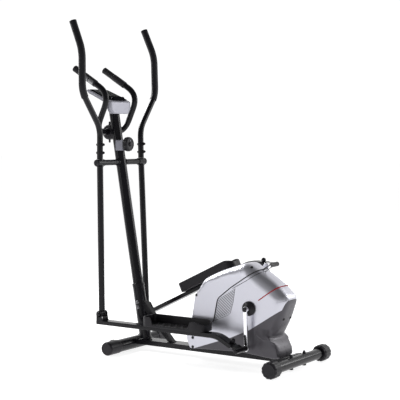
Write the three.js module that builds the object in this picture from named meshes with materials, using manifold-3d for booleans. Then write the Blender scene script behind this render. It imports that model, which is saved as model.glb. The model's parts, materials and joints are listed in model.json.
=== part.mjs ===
// Elliptical trainer: a welded tube frame with two coupled foot bars, swinging
// hand levers, a crank with an enclosed drive, and a slanted console on a mast.
//
// Units are millimetres, +Z is up. +Y is the rear (the drive casing's end), the
// user stands between mast and casing and faces -Y, and +X is the user's left.
// The origin is on the floor below the middle of the machine; sizes along Y are
// drawn from a line CENTRING behind it, and the finished group is moved once.

import * as THREE from 'three';
import { mergeVertices } from 'three/addons/utils/BufferGeometryUtils.js';
import Module from 'manifold-3d';

const wasm = await Module();
wasm.setup();

// ---------------------------------------------------------------- dimensions

const GAP = 0.35;                 // clearance between pieces that touch
const CENTRING = 52.5;            // the drawing's Y = 0 is this far behind the origin
const DEG = Math.PI / 180;

const FRONT_BAR = {
  y: -374, z: 32.5, r: 30, wall: 2.5, half: 225, capR: 32.5, capEnd: 241, capStart: 153,
};
const REAR_BAR = {
  y: 526, z: 38, r: 24, wall: 2, half: 246, capR: 38, capEnd: 261, capStart: 201,
};
const FOOT_PLATE = { half: 78, y0: 481, z0: 40, z1: 58 };   // the rail's wider rear end
const WHEEL_AXIS = [0, -430, 30];  // transport wheels, ahead of the front bar
const WHEEL_FORK = { inner: 104, outer: 128, thick: 3, pinR: 4 };
const RAIL = { half: 38, z0: 29, z1: 53, wall: 2 };

const MAST = { r: 25, wall: 2.5, base: [-318.5, 56], lean: -0.1719, top: 1176 };
const SOCKET = { r: 28.6, top: 322 };
const MAST_BOLTS = { lower: 208, upper: 232 };   // their heights
const MAST_BOLT_HOLE = 4.4;

const AXLE = { y: -466, z: 913, r: 14, half: 185 };
const ARM_X = 165;                // lateral centre plane of arms and foot bars
const ARM_R = 15;                 // swing arm tube
const ARM_HUB_R = 17;             // its hub on the axle
const SPIGOT = { r: 10.5, bore: 11.4, top: 112 };  // the arm's end inside the lever
const LEVER = { bend: 42, gripR: 17.3, gripLow: 308 };
const ARM_LENGTH = 728;           // axle to lower pivot
const ARM_ANGLE = { left: 0.55, right: 2.41 };     // degrees from plumb at rest

const BOLT_BORE = 6.6;            // bores for the 6 mm radius pivot bolts

const CRANK = { y: 313.5, z: 265, r: 176, angle: 2.1, x: 104, thick: 10, half: 9, bossR: 15, hubR: 14 };
const BAR_LENGTH = 785;           // lower pivot to crank pin
const BAR_DROP = 96;              // the pivot's height above the pin in a level bar
const BAR = { half: 25, z0: 46, z1: 66 };          // foot bar tube, above the pin
const BAR_END = { slope: 27.3, start: 36, bolt: 52, tongue: 68, boltR: 4 };   // its lowered rear end
const TONGUE = { x0: 139, x1: 175, half: 7 };      // the sleeve's tongue, inside that end
const PEDAL = { x0: 98, x1: 208, y0: -512, y1: -173, z0: 66.4, z1: 112, wall: 4, lip: 78 };

const CASING = { half: 68, wall: 3, centre: [270, 250], seam: 0.2 };   // seam: half its gap
const BRAKE = { back: 98, up: 58, pinR: 4, eyeR: 9, inner: 99, outer: 109 };   // magnet shoe
const FLYWHEEL = { y: 135, z: 235, r: 95, x0: 6, x1: 28, hubR: 16 };
const PULLEY = { r: 115, x0: -30, x1: -18, spindleR: 10, spindleEnd: 89 };

const CONSOLE = { pivot: [-470, 1211.4], slope: 22.8, half: 88 };
const TENSION = { box: [970, 1022], half: 28, front: -479, rear: -434, knobZ: 1001, knobEnd: -411 };
const HANDLEBAR = { r: 14.5, y: -532, z: 1060, half: 115, bend: 72 };
const HANDLEBAR_CORNER = [-447, 1243];
const HANDLEBAR_TIP = [-656, 1369.4];
const FIXED_GRIP = { r: 16.2, end: [-660, 1371.8], low: [-528, 1292] };

// ----------------------------------------------------------------- materials

const material = (color, roughness, metalness = 0) =>
  new THREE.MeshStandardMaterial({ color, roughness, metalness });

const LOOK = {
  blackPaint: material(0x17171a, 0.35, 0.3),
  blackPlastic: material(0x1b1b1e, 0.55),
  foam: material(0x111113, 0.9),
  chrome: material(0xc9cbd0, 0.18, 1),
  zinc: material(0x9a9ca2, 0.35, 0.9),
  silver: material(0xc4c5cf, 0.35, 0.35),
  darkGrey: material(0x4a484c, 0.5),
  inlayGrey: material(0x9699a3, 0.55),
  greyPlastic: material(0x8f909b, 0.45, 0.2),
  steel: material(0x73757a, 0.45, 0.8),
  castIron: material(0x3a3b3e, 0.6, 0.6),
  rubber: material(0x141414, 0.85),
  screen: material(0x101214, 0.25),
};

// ------------------------------------------------------------ solid modelling

// A closed three.js geometry as a solid that can be joined and cut.
function solid(geometry) {
  const bare = (geometry.index ? geometry.toNonIndexed() : geometry).clone();
  for (const name of Object.keys(bare.attributes)) {
    if (name !== 'position') bare.deleteAttribute(name);
  }
  const merged = mergeVertices(bare, 1e-3);
  return new wasm.Manifold(new wasm.Mesh({
    numProp: 3,
    vertProperties: new Float32Array(merged.attributes.position.array),
    triVerts: new Uint32Array(merged.index.array),
  }));
}

// The radius of a faceted bore that clears a round pin at every angle.
const boreRadius = (r, segments) => (r + GAP) / Math.cos(Math.PI / segments);

const join = (...parts) => parts.reduce((a, b) => a.add(b));
const cut = (body, ...tools) => tools.reduce((a, b) => a.subtract(b), body);

function toGeometry(body) {
  const mesh = body.getMesh();
  const geometry = new THREE.BufferGeometry();
  geometry.setAttribute('position', new THREE.BufferAttribute(mesh.vertProperties, 3));
  geometry.setIndex(new THREE.BufferAttribute(mesh.triVerts, 1));
  return geometry;
}

function box(x0, x1, y0, y1, z0, z1) {
  const geometry = new THREE.BoxGeometry(x1 - x0, y1 - y0, z1 - z0);
  geometry.translate((x0 + x1) / 2, (y0 + y1) / 2, (z0 + z1) / 2);
  return solid(geometry);
}

// Local axes (a, b, along) of a shape that is drawn in the plane across an axis.
const FRAMES = {
  x: new THREE.Matrix4().makeBasis(
    new THREE.Vector3(0, 1, 0), new THREE.Vector3(0, 0, 1), new THREE.Vector3(1, 0, 0)),
  y: new THREE.Matrix4().makeBasis(
    new THREE.Vector3(0, 0, 1), new THREE.Vector3(1, 0, 0), new THREE.Vector3(0, 1, 0)),
  z: new THREE.Matrix4(),
};

// An outline with its corners rounded: corners are [a, b, radius].
function outline(corners) {
  const shape = new THREE.Shape();
  const at = (i) => new THREE.Vector2(...corners[(i + corners.length) % corners.length]);
  corners.forEach(([a, b, r = 0], i) => {
    const corner = new THREE.Vector2(a, b);
    const back = at(i - 1).sub(corner);
    const on = at(i + 1).sub(corner);
    const reach = Math.min(r, back.length() / 2.02, on.length() / 2.02);
    const start = corner.clone().addScaledVector(back.normalize(), reach);
    const end = corner.clone().addScaledVector(on.normalize(), reach);
    if (i === 0) shape.moveTo(start.x, start.y);
    else shape.lineTo(start.x, start.y);
    if (reach > 0) shape.quadraticCurveTo(a, b, end.x, end.y);
  });
  shape.closePath();
  return shape;
}

// A prism along an axis from one station to another. Corners across x are
// [y, z, radius], across z [x, y, radius] and across y [z, x, radius].
function prism(axis, corners, from, to, curveSegments = 2) {
  const geometry = new THREE.ExtrudeGeometry(outline(corners), {
    depth: to - from, bevelEnabled: false, curveSegments,
  });
  geometry.translate(0, 0, from);
  geometry.applyMatrix4(FRAMES[axis]);
  return solid(geometry);
}

// A turned piece: profile points are [radius, station along the axis].
function turned(axis, profile, centre, segments = 12) {
  const points = profile.map(([r, s]) => new THREE.Vector2(r, s));
  const geometry = new THREE.LatheGeometry(points, segments);
  geometry.rotateX(Math.PI / 2);
  geometry.applyMatrix4(FRAMES[axis]);
  geometry.translate(...centre);
  return solid(geometry);
}

const rod = (axis, r, from, to, centre, segments = 12) =>
  turned(axis, [[0, from], [r, from], [r, to], [0, to]], centre, segments);

// A run through points with rounded bends, kept as the stations where its
// direction changes, so that straight stretches cost nothing.
class BentPath extends THREE.Curve {
  constructor(points, bend = 0, stepsPerBend = 3) {
    super();
    this.stations = [points[0].clone()];
    for (let i = 1; i < points.length - 1; i += 1) {
      const back = points[i - 1].clone().sub(points[i]);
      const on = points[i + 1].clone().sub(points[i]);
      const reach = Math.min(bend, back.length() / 2.02, on.length() / 2.02);
      const entry = points[i].clone().addScaledVector(back.normalize(), reach);
      const exit = points[i].clone().addScaledVector(on.normalize(), reach);
      const curve = new THREE.QuadraticBezierCurve3(entry, points[i].clone(), exit);
      this.stations.push(...curve.getPoints(stepsPerBend));
    }
    this.stations.push(points.at(-1).clone());
  }

  getPoint(t) {
    const along = Math.min(Math.max(t, 0), 1) * (this.stations.length - 1);
    const i = Math.min(Math.floor(along), this.stations.length - 2);
    return this.stations[i].clone().lerp(this.stations[i + 1], along - i);
  }

  getPointAt(u) {
    return this.getPoint(u);
  }

  getTangentAt(u) {
    return this.getTangent(u);
  }
}

// A round bar along a path.
function pipe(path, r, sides = 10) {
  const section = new THREE.Shape();
  for (let i = 0; i < sides; i += 1) {
    const a = (i * 2 * Math.PI) / sides;
    const [x, y] = [r * Math.cos(a), r * Math.sin(a)];
    if (i === 0) section.moveTo(x, y);
    else section.lineTo(x, y);
  }
  section.closePath();
  const steps = path.stations.length - 1;
  return solid(new THREE.ExtrudeGeometry(section, { steps, extrudePath: path, bevelEnabled: false }));
}

const V = (x, y, z) => new THREE.Vector3(x, y, z);

// ---------------------------------------------------------------- scene graph

const machine = new THREE.Group();

function add(name, look, body, parent = machine) {
  const mesh = new THREE.Mesh(toGeometry(body), look);
  mesh.name = name;
  parent.add(mesh);
  return mesh;
}

const SIDES = [['left', 1], ['right', -1]];
const mirrored = (body, sign) => (sign > 0 ? body : body.mirror([1, 0, 0]));

// ---------------------------------------------------------------------- base

const mastY = (z) => MAST.base[0] + MAST.lean * (z - MAST.base[1]);

// A round bar on the mast's leaning line, from one height to another.
function mastRod(r, z0, z1, segments = 16) {
  return pipe(new BentPath([V(0, mastY(z0), z0), V(0, mastY(z1), z1)]), r, segments);
}

function railSolid(grow = 0) {
  const rearFace = REAR_BAR.y - REAR_BAR.r - GAP;
  return box(-RAIL.half - grow, RAIL.half + grow, FRONT_BAR.y + 15, rearFace + grow,
    RAIL.z0 - grow, RAIL.z1 + grow);
}

function addBase() {
  const frontTube = rod('x', FRONT_BAR.r, -FRONT_BAR.half, FRONT_BAR.half,
    [0, FRONT_BAR.y, FRONT_BAR.z], 18);
  const rail = railSolid();
  const bore = box(-RAIL.half + RAIL.wall, RAIL.half - RAIL.wall, FRONT_BAR.y, REAR_BAR.y,
    RAIL.z0 + RAIL.wall, RAIL.z1 - RAIL.wall);
  const footPlate = box(-FOOT_PLATE.half, FOOT_PLATE.half, FOOT_PLATE.y0,
    REAR_BAR.y - REAR_BAR.r - GAP, FOOT_PLATE.z0, FOOT_PLATE.z1);
  const frontClear = rod('x', FRONT_BAR.r + GAP, -60, 60, [0, FRONT_BAR.y, FRONT_BAR.z], 18);
  add('base_rail', LOOK.blackPaint, cut(join(rail, footPlate), bore, frontClear));

  const { inner, outer, thick, pinR } = WHEEL_FORK;
  const wheelPlates = SIDES.flatMap(([, s]) => [inner, outer].map((x) => mirrored(
    prism('x', [[-386, 12], [-440, 20, 8], [-440, 42, 8], [-386, 56]], x, x + thick), s)));
  const pins = SIDES.map(([, s]) => mirrored(
    rod('x', pinR, inner, outer + thick, WHEEL_AXIS, 10), s));
  const tubeBore = rod('x', FRONT_BAR.r - FRONT_BAR.wall, -300, 300,
    [0, FRONT_BAR.y, FRONT_BAR.z], 18);
  add('front_stabilizer', LOOK.blackPaint,
    join(cut(join(frontTube, ...wheelPlates), tubeBore), ...pins));

  const rearTube = rod('x', REAR_BAR.r, -REAR_BAR.half, REAR_BAR.half,
    [0, REAR_BAR.y, REAR_BAR.z], 18);
  const rearBore = rod('x', REAR_BAR.r - REAR_BAR.wall, -300, 300,
    [0, REAR_BAR.y, REAR_BAR.z], 18);
  add('rear_stabilizer', LOOK.blackPaint, cut(rearTube, rearBore));
}

// End caps: fixed ones in front, ribbed levelling caps that turn at the rear.
function addCaps() {
  for (const [side, s] of SIDES) {
    const front = turned('x', [
      [0, FRONT_BAR.half + 1], [FRONT_BAR.r + GAP, FRONT_BAR.half + 1],
      [FRONT_BAR.r + GAP, FRONT_BAR.capStart], [FRONT_BAR.capR - 0.6, FRONT_BAR.capStart],
      [FRONT_BAR.capR, FRONT_BAR.capEnd - 8], [FRONT_BAR.capR - 3, FRONT_BAR.capEnd - 2],
      [FRONT_BAR.capR - 9, FRONT_BAR.capEnd], [0, FRONT_BAR.capEnd],
    ], [0, FRONT_BAR.y, FRONT_BAR.z], 18);
    add(`front_cap_${side}`, LOOK.blackPlastic, mirrored(front, s));

    const bore = boreRadius(REAR_BAR.r, 18);
    const rear = turned('x', [
      [0, REAR_BAR.half + 1], [bore, REAR_BAR.half + 1],
      [bore, REAR_BAR.capStart], [REAR_BAR.capR - 4, REAR_BAR.capStart],
      [REAR_BAR.capR, REAR_BAR.capStart + 6], [REAR_BAR.capR, REAR_BAR.capEnd - 9],
      [REAR_BAR.capR - 3, REAR_BAR.capEnd - 2.5], [REAR_BAR.capR - 9, REAR_BAR.capEnd],
      [0, REAR_BAR.capEnd],
    ], [0, REAR_BAR.y, REAR_BAR.z], 18);
    add(`rear_cap_${side}`, LOOK.blackPlastic, mirrored(rear, s));

    const wheel = turned('x', [
      [4.6, 108.5], [19, 108.5], [23, 112], [23, 123], [19, 126.5], [4.6, 126.5], [4.6, 108.5],
    ], WHEEL_AXIS, 16);
    add(`transport_wheel_${side}`, LOOK.rubber, mirrored(wheel, s));
  }
}

// ---------------------------------------------------------------------- mast

function addMast() {
  const socketHole = mastRod(MAST.r + GAP, 50, 400);
  const boltHoles = Object.values(MAST_BOLTS).map((z) => (
    rod('x', MAST_BOLT_HOLE, -60, 60, [0, mastY(z), z], 12)));
  const socket = cut(mastRod(SOCKET.r, RAIL.z1 - 20, SOCKET.top), socketHole, railSolid(GAP),
    box(-40, 40, -400, -200, -20, RAIL.z1), ...boltHoles);
  add('mast_socket', LOOK.blackPaint, socket);

  const axleHole = rod('x', AXLE.r + GAP, -60, 60, [0, AXLE.y, AXLE.z]);
  const mast = cut(mastRod(MAST.r, 190, MAST.top), mastRod(MAST.r - MAST.wall, 150, 1300),
    axleHole, ...boltHoles);
  add('mast', LOOK.blackPaint, mast);

  const brace = prism('x', [[-352, 226], [-320, 243], [-146, 54], [-178, 54]], -12.5, 12.5);
  add('socket_brace', LOOK.blackPaint,
    cut(brace, mastRod(SOCKET.r + GAP, 0, 400), railSolid(GAP)));

  Object.entries(MAST_BOLTS).forEach(([which, z]) => {
    const half = SOCKET.r + GAP;
    const bolt = turned('x', [
      [0, -half - 7], [5, -half - 7], [6.5, -half - 5], [6.5, -half], [4, -half],
      [4, half], [7, half], [7, half + 3], [4, half + 6], [0, half + 6],
    ], [0, mastY(z), z], 10);
    add(`mast_bolt_${which}`, LOOK.zinc, bolt);
  });

  add('pivot_axle', LOOK.blackPaint,
    rod('x', AXLE.r, -AXLE.half, AXLE.half, [0, AXLE.y, AXLE.z]));
}

// -------------------------------------------------------- fixed handlebar

function handlebarPath(extra = 0) {
  const { y, z, half, bend } = HANDLEBAR;
  const [tipY, tipZ] = HANDLEBAR_TIP;
  const side = (s) => [V(s * half, y, z), V(s * half, ...HANDLEBAR_CORNER),
    V(s * half, tipY - extra, tipZ + 0.6 * extra)];
  return new BentPath([...side(-1).reverse(), ...side(1)], bend, 4);
}

function addHandlebar() {
  const { r, y, z, half } = HANDLEBAR;
  add('fixed_handlebar', LOOK.blackPaint, pipe(handlebarPath(), r));

  // The clamp is a round collar about the bar, notched to seat on the mast.
  const barRun = pipe(handlebarPath(), r + GAP);
  const collar = turned('x', [
    [0, -20], [31, -20], [37.5, -16], [37.5, 16], [31, 20], [0, 20],
  ], [0, y, z], 26);
  add('handlebar_clamp', LOOK.blackPlastic, cut(collar, barRun, mastRod(MAST.r + GAP, 900, 1250)));

  for (const [side, s] of SIDES) {
    const run = [V(s * half, ...FIXED_GRIP.end), V(s * half, ...FIXED_GRIP.low)];
    const grip = pipe(new BentPath(run), FIXED_GRIP.r, 12);
    add(`fixed_grip_${side}`, LOOK.foam, cut(grip, pipe(handlebarPath(GAP), r + GAP)));
  }
}

// ------------------------------------------------------------------- console

// A group whose +Z is the console's face normal, at the face's rear edge.
function consoleGroup() {
  const group = new THREE.Group();
  group.position.set(0, ...CONSOLE.pivot);
  group.rotation.x = -CONSOLE.slope * DEG;
  machine.add(group);
  return group;
}

const BUTTON = { r: 6.5, clear: 0.4, y: -30, xs: [-26, 0, 26], top: 4.2, base: -1.2 };

function addConsole() {
  const group = consoleGroup();
  const place = new THREE.Matrix4().makeRotationX(CONSOLE.slope * DEG);
  place.multiply(new THREE.Matrix4().makeTranslation(0, -CONSOLE.pivot[0], -CONSOLE.pivot[1]));

  // The housing is drawn upright and cut to its plan and rear-view outlines.
  const side = prism('x', [
    [-464, 1149, 3], [-464, 1209, 4], [-470, 1211, 3], [-614, 1271.6, 5], [-608, 1251, 5],
    [-477, 1193, 3], [-477, 1149, 3],
  ], -CONSOLE.half, CONSOLE.half);
  const plan = prism('z', [
    [-CONSOLE.half, -464, 22], [-81, -620, 12], [81, -620, 12], [CONSOLE.half, -464, 22],
  ], 1100, 1300);
  const rearView = prism('y', [
    [1149, -CONSOLE.half, 18], [1290, -CONSOLE.half], [1290, CONSOLE.half],
    [1149, CONSOLE.half, 18],
  ], -640, -440);
  const pockets = BUTTON.xs.map((x) => rod('z', BUTTON.r + BUTTON.clear, -6, 20, [x, BUTTON.y, 0], 10)
    .transform(place.clone().invert().elements));
  const housing = cut(side.intersect(plan).intersect(rearView), ...pockets);
  add('console_housing', LOOK.silver, housing);

  const plate = prism('z', [
    [-76, -12, 14], [-72, -146, 8], [72, -146, 8], [76, -12, 14],
  ], GAP, 2.2);
  const hood = prism('x', [
    [-5.5, GAP], [-5.5, 3], [-14, 17, 2], [-18, 17, 2], [-22, GAP],
  ], -44, 44);
  const holes = BUTTON.xs.map((x) => (
    rod('z', BUTTON.r + BUTTON.clear, -1, 20, [x, BUTTON.y, 0], 10)));
  add('console_screen', LOOK.screen, cut(join(plate, hood), ...holes), group);

  BUTTON.xs.forEach((x, i) => {
    const cap = turned('z', [
      [0, BUTTON.base], [BUTTON.r, BUTTON.base], [BUTTON.r, BUTTON.top - 1],
      [BUTTON.r - 1, BUTTON.top], [0, BUTTON.top],
    ], [x, BUTTON.y, 0], 10);
    add(`console_button_${i + 1}`, LOOK.greyPlastic, cap, group);
  });

  // The bracket stands in the mast's mouth and carries the housing.
  const plug = cut(mastRod(MAST.r - MAST.wall - GAP, 1140, 1230), side.translate([0, 0, -GAP]),
    prism('x', [
      [-477, 1192.6], [-614, 1253.3], [-614, 1400], [-400, 1400], [-400, 1192.6],
    ], -60, 60));
  add('console_bracket', LOOK.blackPlastic, plug);
}

// ------------------------------------------------------------ tension control

function addTension() {
  const { half, front, rear, knobEnd } = TENSION;
  const housing = cut(box(-half, half, front, rear, ...TENSION.box), mastRod(MAST.r + GAP, 900, 1100));
  add('tension_housing', LOOK.greyPlastic, housing);

  // The knob's rim is fluted for grip.
  const flutes = 12;
  const rim = [];
  for (let i = 0; i < flutes * 2; i += 1) {
    const a = (i * Math.PI) / flutes;
    const r = i % 2 ? 33.4 : 35.5;
    rim.push([TENSION.knobZ + r * Math.sin(a), r * Math.cos(a)]);
  }
  const grip = prism('y', rim, rear + GAP, knobEnd);
  const face = turned('y', [
    [0, -411.5], [31, -411.5], [29, -407], [10, -406], [9, -402], [0, -401.5],
  ], [0, 0, TENSION.knobZ], 20);
  add('tension_knob', LOOK.blackPlastic, join(grip, face));
}

// ----------------------------------------------------------- swing arm assembly

// The left arm's own frame: origin on the axle line, -Z down to the lower pivot.
function swingArm(s) {
  const tube = rod('z', ARM_R, -ARM_LENGTH, 20, [ARM_X, 0, 0], 14);
  const spigot = rod('z', SPIGOT.r, 0, SPIGOT.top, [ARM_X, 0, 0], 10);
  const hub = rod('x', ARM_HUB_R, 137, AXLE.half + 1, [0, 0, 0]);
  const bush = rod('x', ARM_R, 145.8, 184.2, [0, 0, -ARM_LENGTH]);
  const body = cut(join(tube, spigot, hub, bush),
    rod('x', boreRadius(AXLE.r, 12), 100, 240, [0, 0, 0]),
    rod('x', BOLT_BORE, 100, 240, [0, 0, -ARM_LENGTH]));
  return mirrored(body, s);
}

const handlePath = (drop = 0) => new BentPath([
  V(ARM_X, 0, 17.4), V(ARM_X, 3, 165), V(297, 6, 335), V(297, 8, 530),
  V(294.4, 8 - 56 * (1 - drop), 530 + 139 * (1 - drop)),
], LEVER.bend);

function addSwingSide(side, s) {
  const group = new THREE.Group();
  group.position.set(0, AXLE.y, AXLE.z);
  group.rotation.x = ARM_ANGLE[side] * DEG;
  machine.add(group);

  add(`swing_arm_${side}`, LOOK.blackPaint, swingArm(s), group);

  const bore = rod('z', SPIGOT.bore, -5, SPIGOT.top + 6, [ARM_X, 0, 0], 10);
  const hubClear = rod('x', ARM_HUB_R + GAP, 100, 240, [0, 0, 0]);
  const tube = pipe(handlePath(0.03), ARM_R - 0.6);
  const handle = cut(tube, bore, hubClear, box(140, 190, -20, 20, 0, 20 + GAP));
  add(`handle_${side}`, LOOK.blackPaint, mirrored(handle, s), group);

  const gripTube = cut(pipe(handlePath(), LEVER.gripR), box(100, 400, -100, 100, -20, LEVER.gripLow));
  const core = pipe(handlePath(0.026), ARM_R);
  add(`handle_grip_${side}`, LOOK.foam, mirrored(cut(gripTube, core), s), group);

  const cap = turned('x', [
    [0, AXLE.half + GAP], [17.5, AXLE.half + 1.5], [17.5, AXLE.half + 5], [13, AXLE.half + 8],
    [0, AXLE.half + 9],
  ], [0, AXLE.y, AXLE.z]);
  add(`axle_cap_${side}`, LOOK.blackPlastic, mirrored(cap, s));
}

// ------------------------------------------------------------ foot bar assembly

// Local frame of a foot bar: origin on the crank pin's axis, +Y to the rear, the
// bar itself level, and its lower pivot BAR_DROP above the pin's height.
const pivotBack = Math.sqrt(BAR_LENGTH ** 2 - BAR_DROP ** 2);
const pivotLocal = [0, -pivotBack, BAR_DROP];

// A point beside the bar's sloping end, by its distance from the crank pin and its
// height over the line that leads there.
function onEnd(away, up) {
  const slope = BAR_END.slope * DEG;
  return [
    up * Math.sin(slope) - away * Math.cos(slope),
    away * Math.sin(slope) + up * Math.cos(slope),
  ];
}

// A piece drawn along z, set square through the bar's sloping end.
const throughEnd = (piece) => piece.rotate([-BAR_END.slope, 0, 0])
  .translate([(TONGUE.x0 + TONGUE.x1) / 2, ...onEnd(BAR_END.bolt, 0)]);

const alongEnd = (from, to, half, x0, x1) => prism('x',
  [onEnd(to, -half), onEnd(to, half), onEnd(from, half), onEnd(from, -half)], x0, x1);

// An upright ear on the bar: a plate that is rounded about a bolt.
function ear(x0, x1, [y, z], r, base) {
  const plate = prism('x', base, x0, x1);
  return join(plate, rod('x', r, x0, x1, [0, y, z]));
}

function footBar() {
  const { half, z0, z1 } = BAR;
  const front = -pivotBack - 17;
  const [x0, x1] = [ARM_X - half, ARM_X + half];
  const tube = prism('x', [
    [front, z0, 3], [front, z1, 3], [-104, z1, 30], [...onEnd(BAR_END.start, 10), 3],
    [...onEnd(BAR_END.start, -10), 3], [-112, z0, 30],
  ], x0, x1);
  const clevis = [[x0, x0 + 4.5], [x1 - 4.5, x1]].map(([a, b]) => ear(a, b,
    [-pivotBack, BAR_DROP], 16,
    [[-pivotBack - 15, z1 - 3], [-pivotBack - 15, BAR_DROP], [-pivotBack + 15, BAR_DROP],
      [-pivotBack + 20, z1 - 3]]));
  const slot = alongEnd(BAR_END.start - 10, BAR_END.tongue + 2, TONGUE.half + GAP,
    TONGUE.x0 - GAP, TONGUE.x1 + GAP);
  return cut(join(tube, ...clevis), slot, throughEnd(rod('z', BAR_END.boltR + GAP, -40, 40, [0, 0, 0])),
    rod('x', BOLT_BORE, 100, 240, pivotLocal));
}

// A tray with a high inner wall that wraps round toe and heel, and a low outer lip.
function pedal() {
  const { x0, x1, y0, y1, z0, z1, wall, lip } = PEDAL;
  const tray = (inset, low, high) => prism('z', [
    [x0 + inset, y0 + inset, 26 - inset], [x1 - inset, y0 + inset, 34 - inset],
    [x1 - inset, y1 - inset, 64 - inset], [x0 + inset, y1 - inset, 40 - inset],
  ], low, high, 4);
  const window = prism('x', [
    [y0 + 60, lip, 8], [y0 + 58, z1 - 14, 10], [y0 + 40, z1 + 5], [y1 - 60, z1 + 5],
    [y1 - 70, z1 - 10, 10], [y1 - 71, lip, 8],
  ], x1 - 34, x1 + 5);
  const heelTop = prism('x', [
    [y1 - 46, z1 + 0.5], [y1 - 14, z1 - 5], [y1 + 5, z1 - 18], [y1 + 5, z1 + 6], [y1 - 46, z1 + 6],
  ], x0 - 5, x1 + 5);
  return cut(tray(0, z0, z1), tray(wall, z0 + 5, z1 + 10), window, heelTop);
}

function crankSleeve() {
  const sleeve = turned('x', [
    [0, 114.5], [11.5, 114.5], [11.5, 196], [8.5, 200], [0, 200],
  ], [0, 0, 0], 14);
  const tongue = alongEnd(0, BAR_END.tongue, TONGUE.half, TONGUE.x0, TONGUE.x1);
  const saddle = alongEnd(0, BAR_END.start - 8, TONGUE.half + 3, TONGUE.x0 - 6, TONGUE.x1 + 6);
  return cut(join(sleeve, saddle, tongue), throughEnd(rod('z', BAR_END.boltR + GAP, -40, 40, [0, 0, 0])));
}

// The bolt through bar end and tongue, under a ball-shaped cap.
function hingeBolt() {
  const face = 10 + GAP;
  return throughEnd(turned('z', [
    [0, -face - 7], [6, -face - 7], [8.5, -face - 4], [8.5, -face],
    [BAR_END.boltR, -face], [BAR_END.boltR, face],
    [8, face], [11, face + 4], [11, face + 11], [8, face + 17], [0, face + 19],
  ], [0, 0, 0]));
}

// A bolt across the bar with a domed cap over each end.
function cappedBolt([, y, z], capR) {
  const inner = ARM_X - BAR.half - GAP;
  const outer = ARM_X + BAR.half + GAP;
  return turned('x', [
    [0, inner - 6.5], [capR - 4, inner - 6], [capR, inner - 3.5], [capR, inner], [6, inner],
    [6, outer], [capR, outer], [capR, outer + 3.5], [capR - 4, outer + 6], [0, outer + 6.5],
  ], [0, y, z]);
}

function addFootSide(side, s) {
  const swing = ARM_ANGLE[side] * DEG;
  const pivot = V(0, AXLE.y + ARM_LENGTH * Math.sin(swing), AXLE.z - ARM_LENGTH * Math.cos(swing));
  const turn = side === 'left' ? CRANK.angle * DEG : Math.PI + CRANK.angle * DEG;
  const pin = V(0, CRANK.y + CRANK.r * Math.sin(turn), CRANK.z - CRANK.r * Math.cos(turn));
  const level = Math.atan2(BAR_DROP, pivotBack);
  const group = new THREE.Group();
  group.position.copy(pin);
  group.rotation.x = Math.atan2(pin.z - pivot.z, pin.y - pivot.y) + level;
  machine.add(group);

  add(`foot_bar_${side}`, LOOK.blackPaint, mirrored(footBar(), s), group);
  add(`pedal_${side}`, LOOK.blackPlastic, mirrored(pedal(), s), group);
  add(`crank_sleeve_${side}`, LOOK.blackPaint, mirrored(crankSleeve(), s), group);
  add(`pivot_bolt_${side}`, LOOK.blackPlastic, mirrored(cappedBolt(pivotLocal, 10), s), group);
  add(`hinge_bolt_${side}`, LOOK.blackPlastic, mirrored(hingeBolt(), s), group);
}

// ------------------------------------------------------------- crank and drive

const crankCentre = [0, CRANK.y, CRANK.z];

function crankArm() {
  const { x, thick, r, half, bossR, hubR } = CRANK;
  const [x0, x1] = [x - thick / 2, x + thick / 2];
  const plate = prism('x', [
    [-half - 0.5, 4, 8], [-half, -r, 8], [half, -r, 8], [half + 0.5, 4, 8],
  ], x0, x1);
  const boss = rod('x', bossR, x0 - 8, x1 + 2, [0, 0, -r]);
  const hub = turned('x', [
    [0, 72.6], [33, 72.6], [33, 79], [26, 85], [hubR, 87], [hubR, x1],
    [11, x1 + 4], [0, x1 + 4],
  ], [0, 0, 0], 20);
  return cut(join(plate, boss, hub), rod('x', PULLEY.spindleR + GAP, 60, 90, [0, 0, 0], 16));
}

function addCrank() {
  const group = new THREE.Group();
  group.position.set(...crankCentre);
  group.rotation.x = CRANK.angle * DEG;
  machine.add(group);
  add('crank_arm_left', LOOK.chrome, crankArm(), group);
  add('crank_arm_right', LOOK.chrome, mirrored(crankArm(), -1).rotate([180, 0, 0]), group);

  const { r, x0, x1, spindleR, spindleEnd } = PULLEY;
  const pulley = turned('x', [
    [0, -spindleEnd], [spindleR, -spindleEnd], [spindleR, x0], [r, x0], [r, x1], [r - 14, x1],
    [r - 14, x1 - 6], [spindleR, x1 - 6], [spindleR, spindleEnd], [0, spindleEnd],
  ], [0, 0, 0], 20);
  add('drive_pulley', LOOK.steel, pulley, group);
}

// Tangent loop about the pulley and the flywheel's hub, at a distance from them.
function beltLoop(off, x0, x1) {
  const [dy, dz] = [FLYWHEEL.y - CRANK.y, FLYWHEEL.z - CRANK.z];
  const span = Math.hypot(dy, dz);
  const heading = Math.atan2(dz, dy);
  const [big, small] = [PULLEY.r + off, FLYWHEEL.hubR + off];
  const open = Math.acos((big - small) / span);
  const shape = new THREE.Shape();
  shape.absarc(CRANK.y, CRANK.z, big, heading + open, heading - open + 2 * Math.PI);
  shape.absarc(FLYWHEEL.y, FLYWHEEL.z, small, heading - open, heading + open);
  const geometry = new THREE.ExtrudeGeometry(shape, {
    depth: x1 - x0, bevelEnabled: false, curveSegments: 8,
  });
  geometry.translate(0, 0, x0);
  geometry.applyMatrix4(FRAMES.x);
  return solid(geometry);
}

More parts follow.
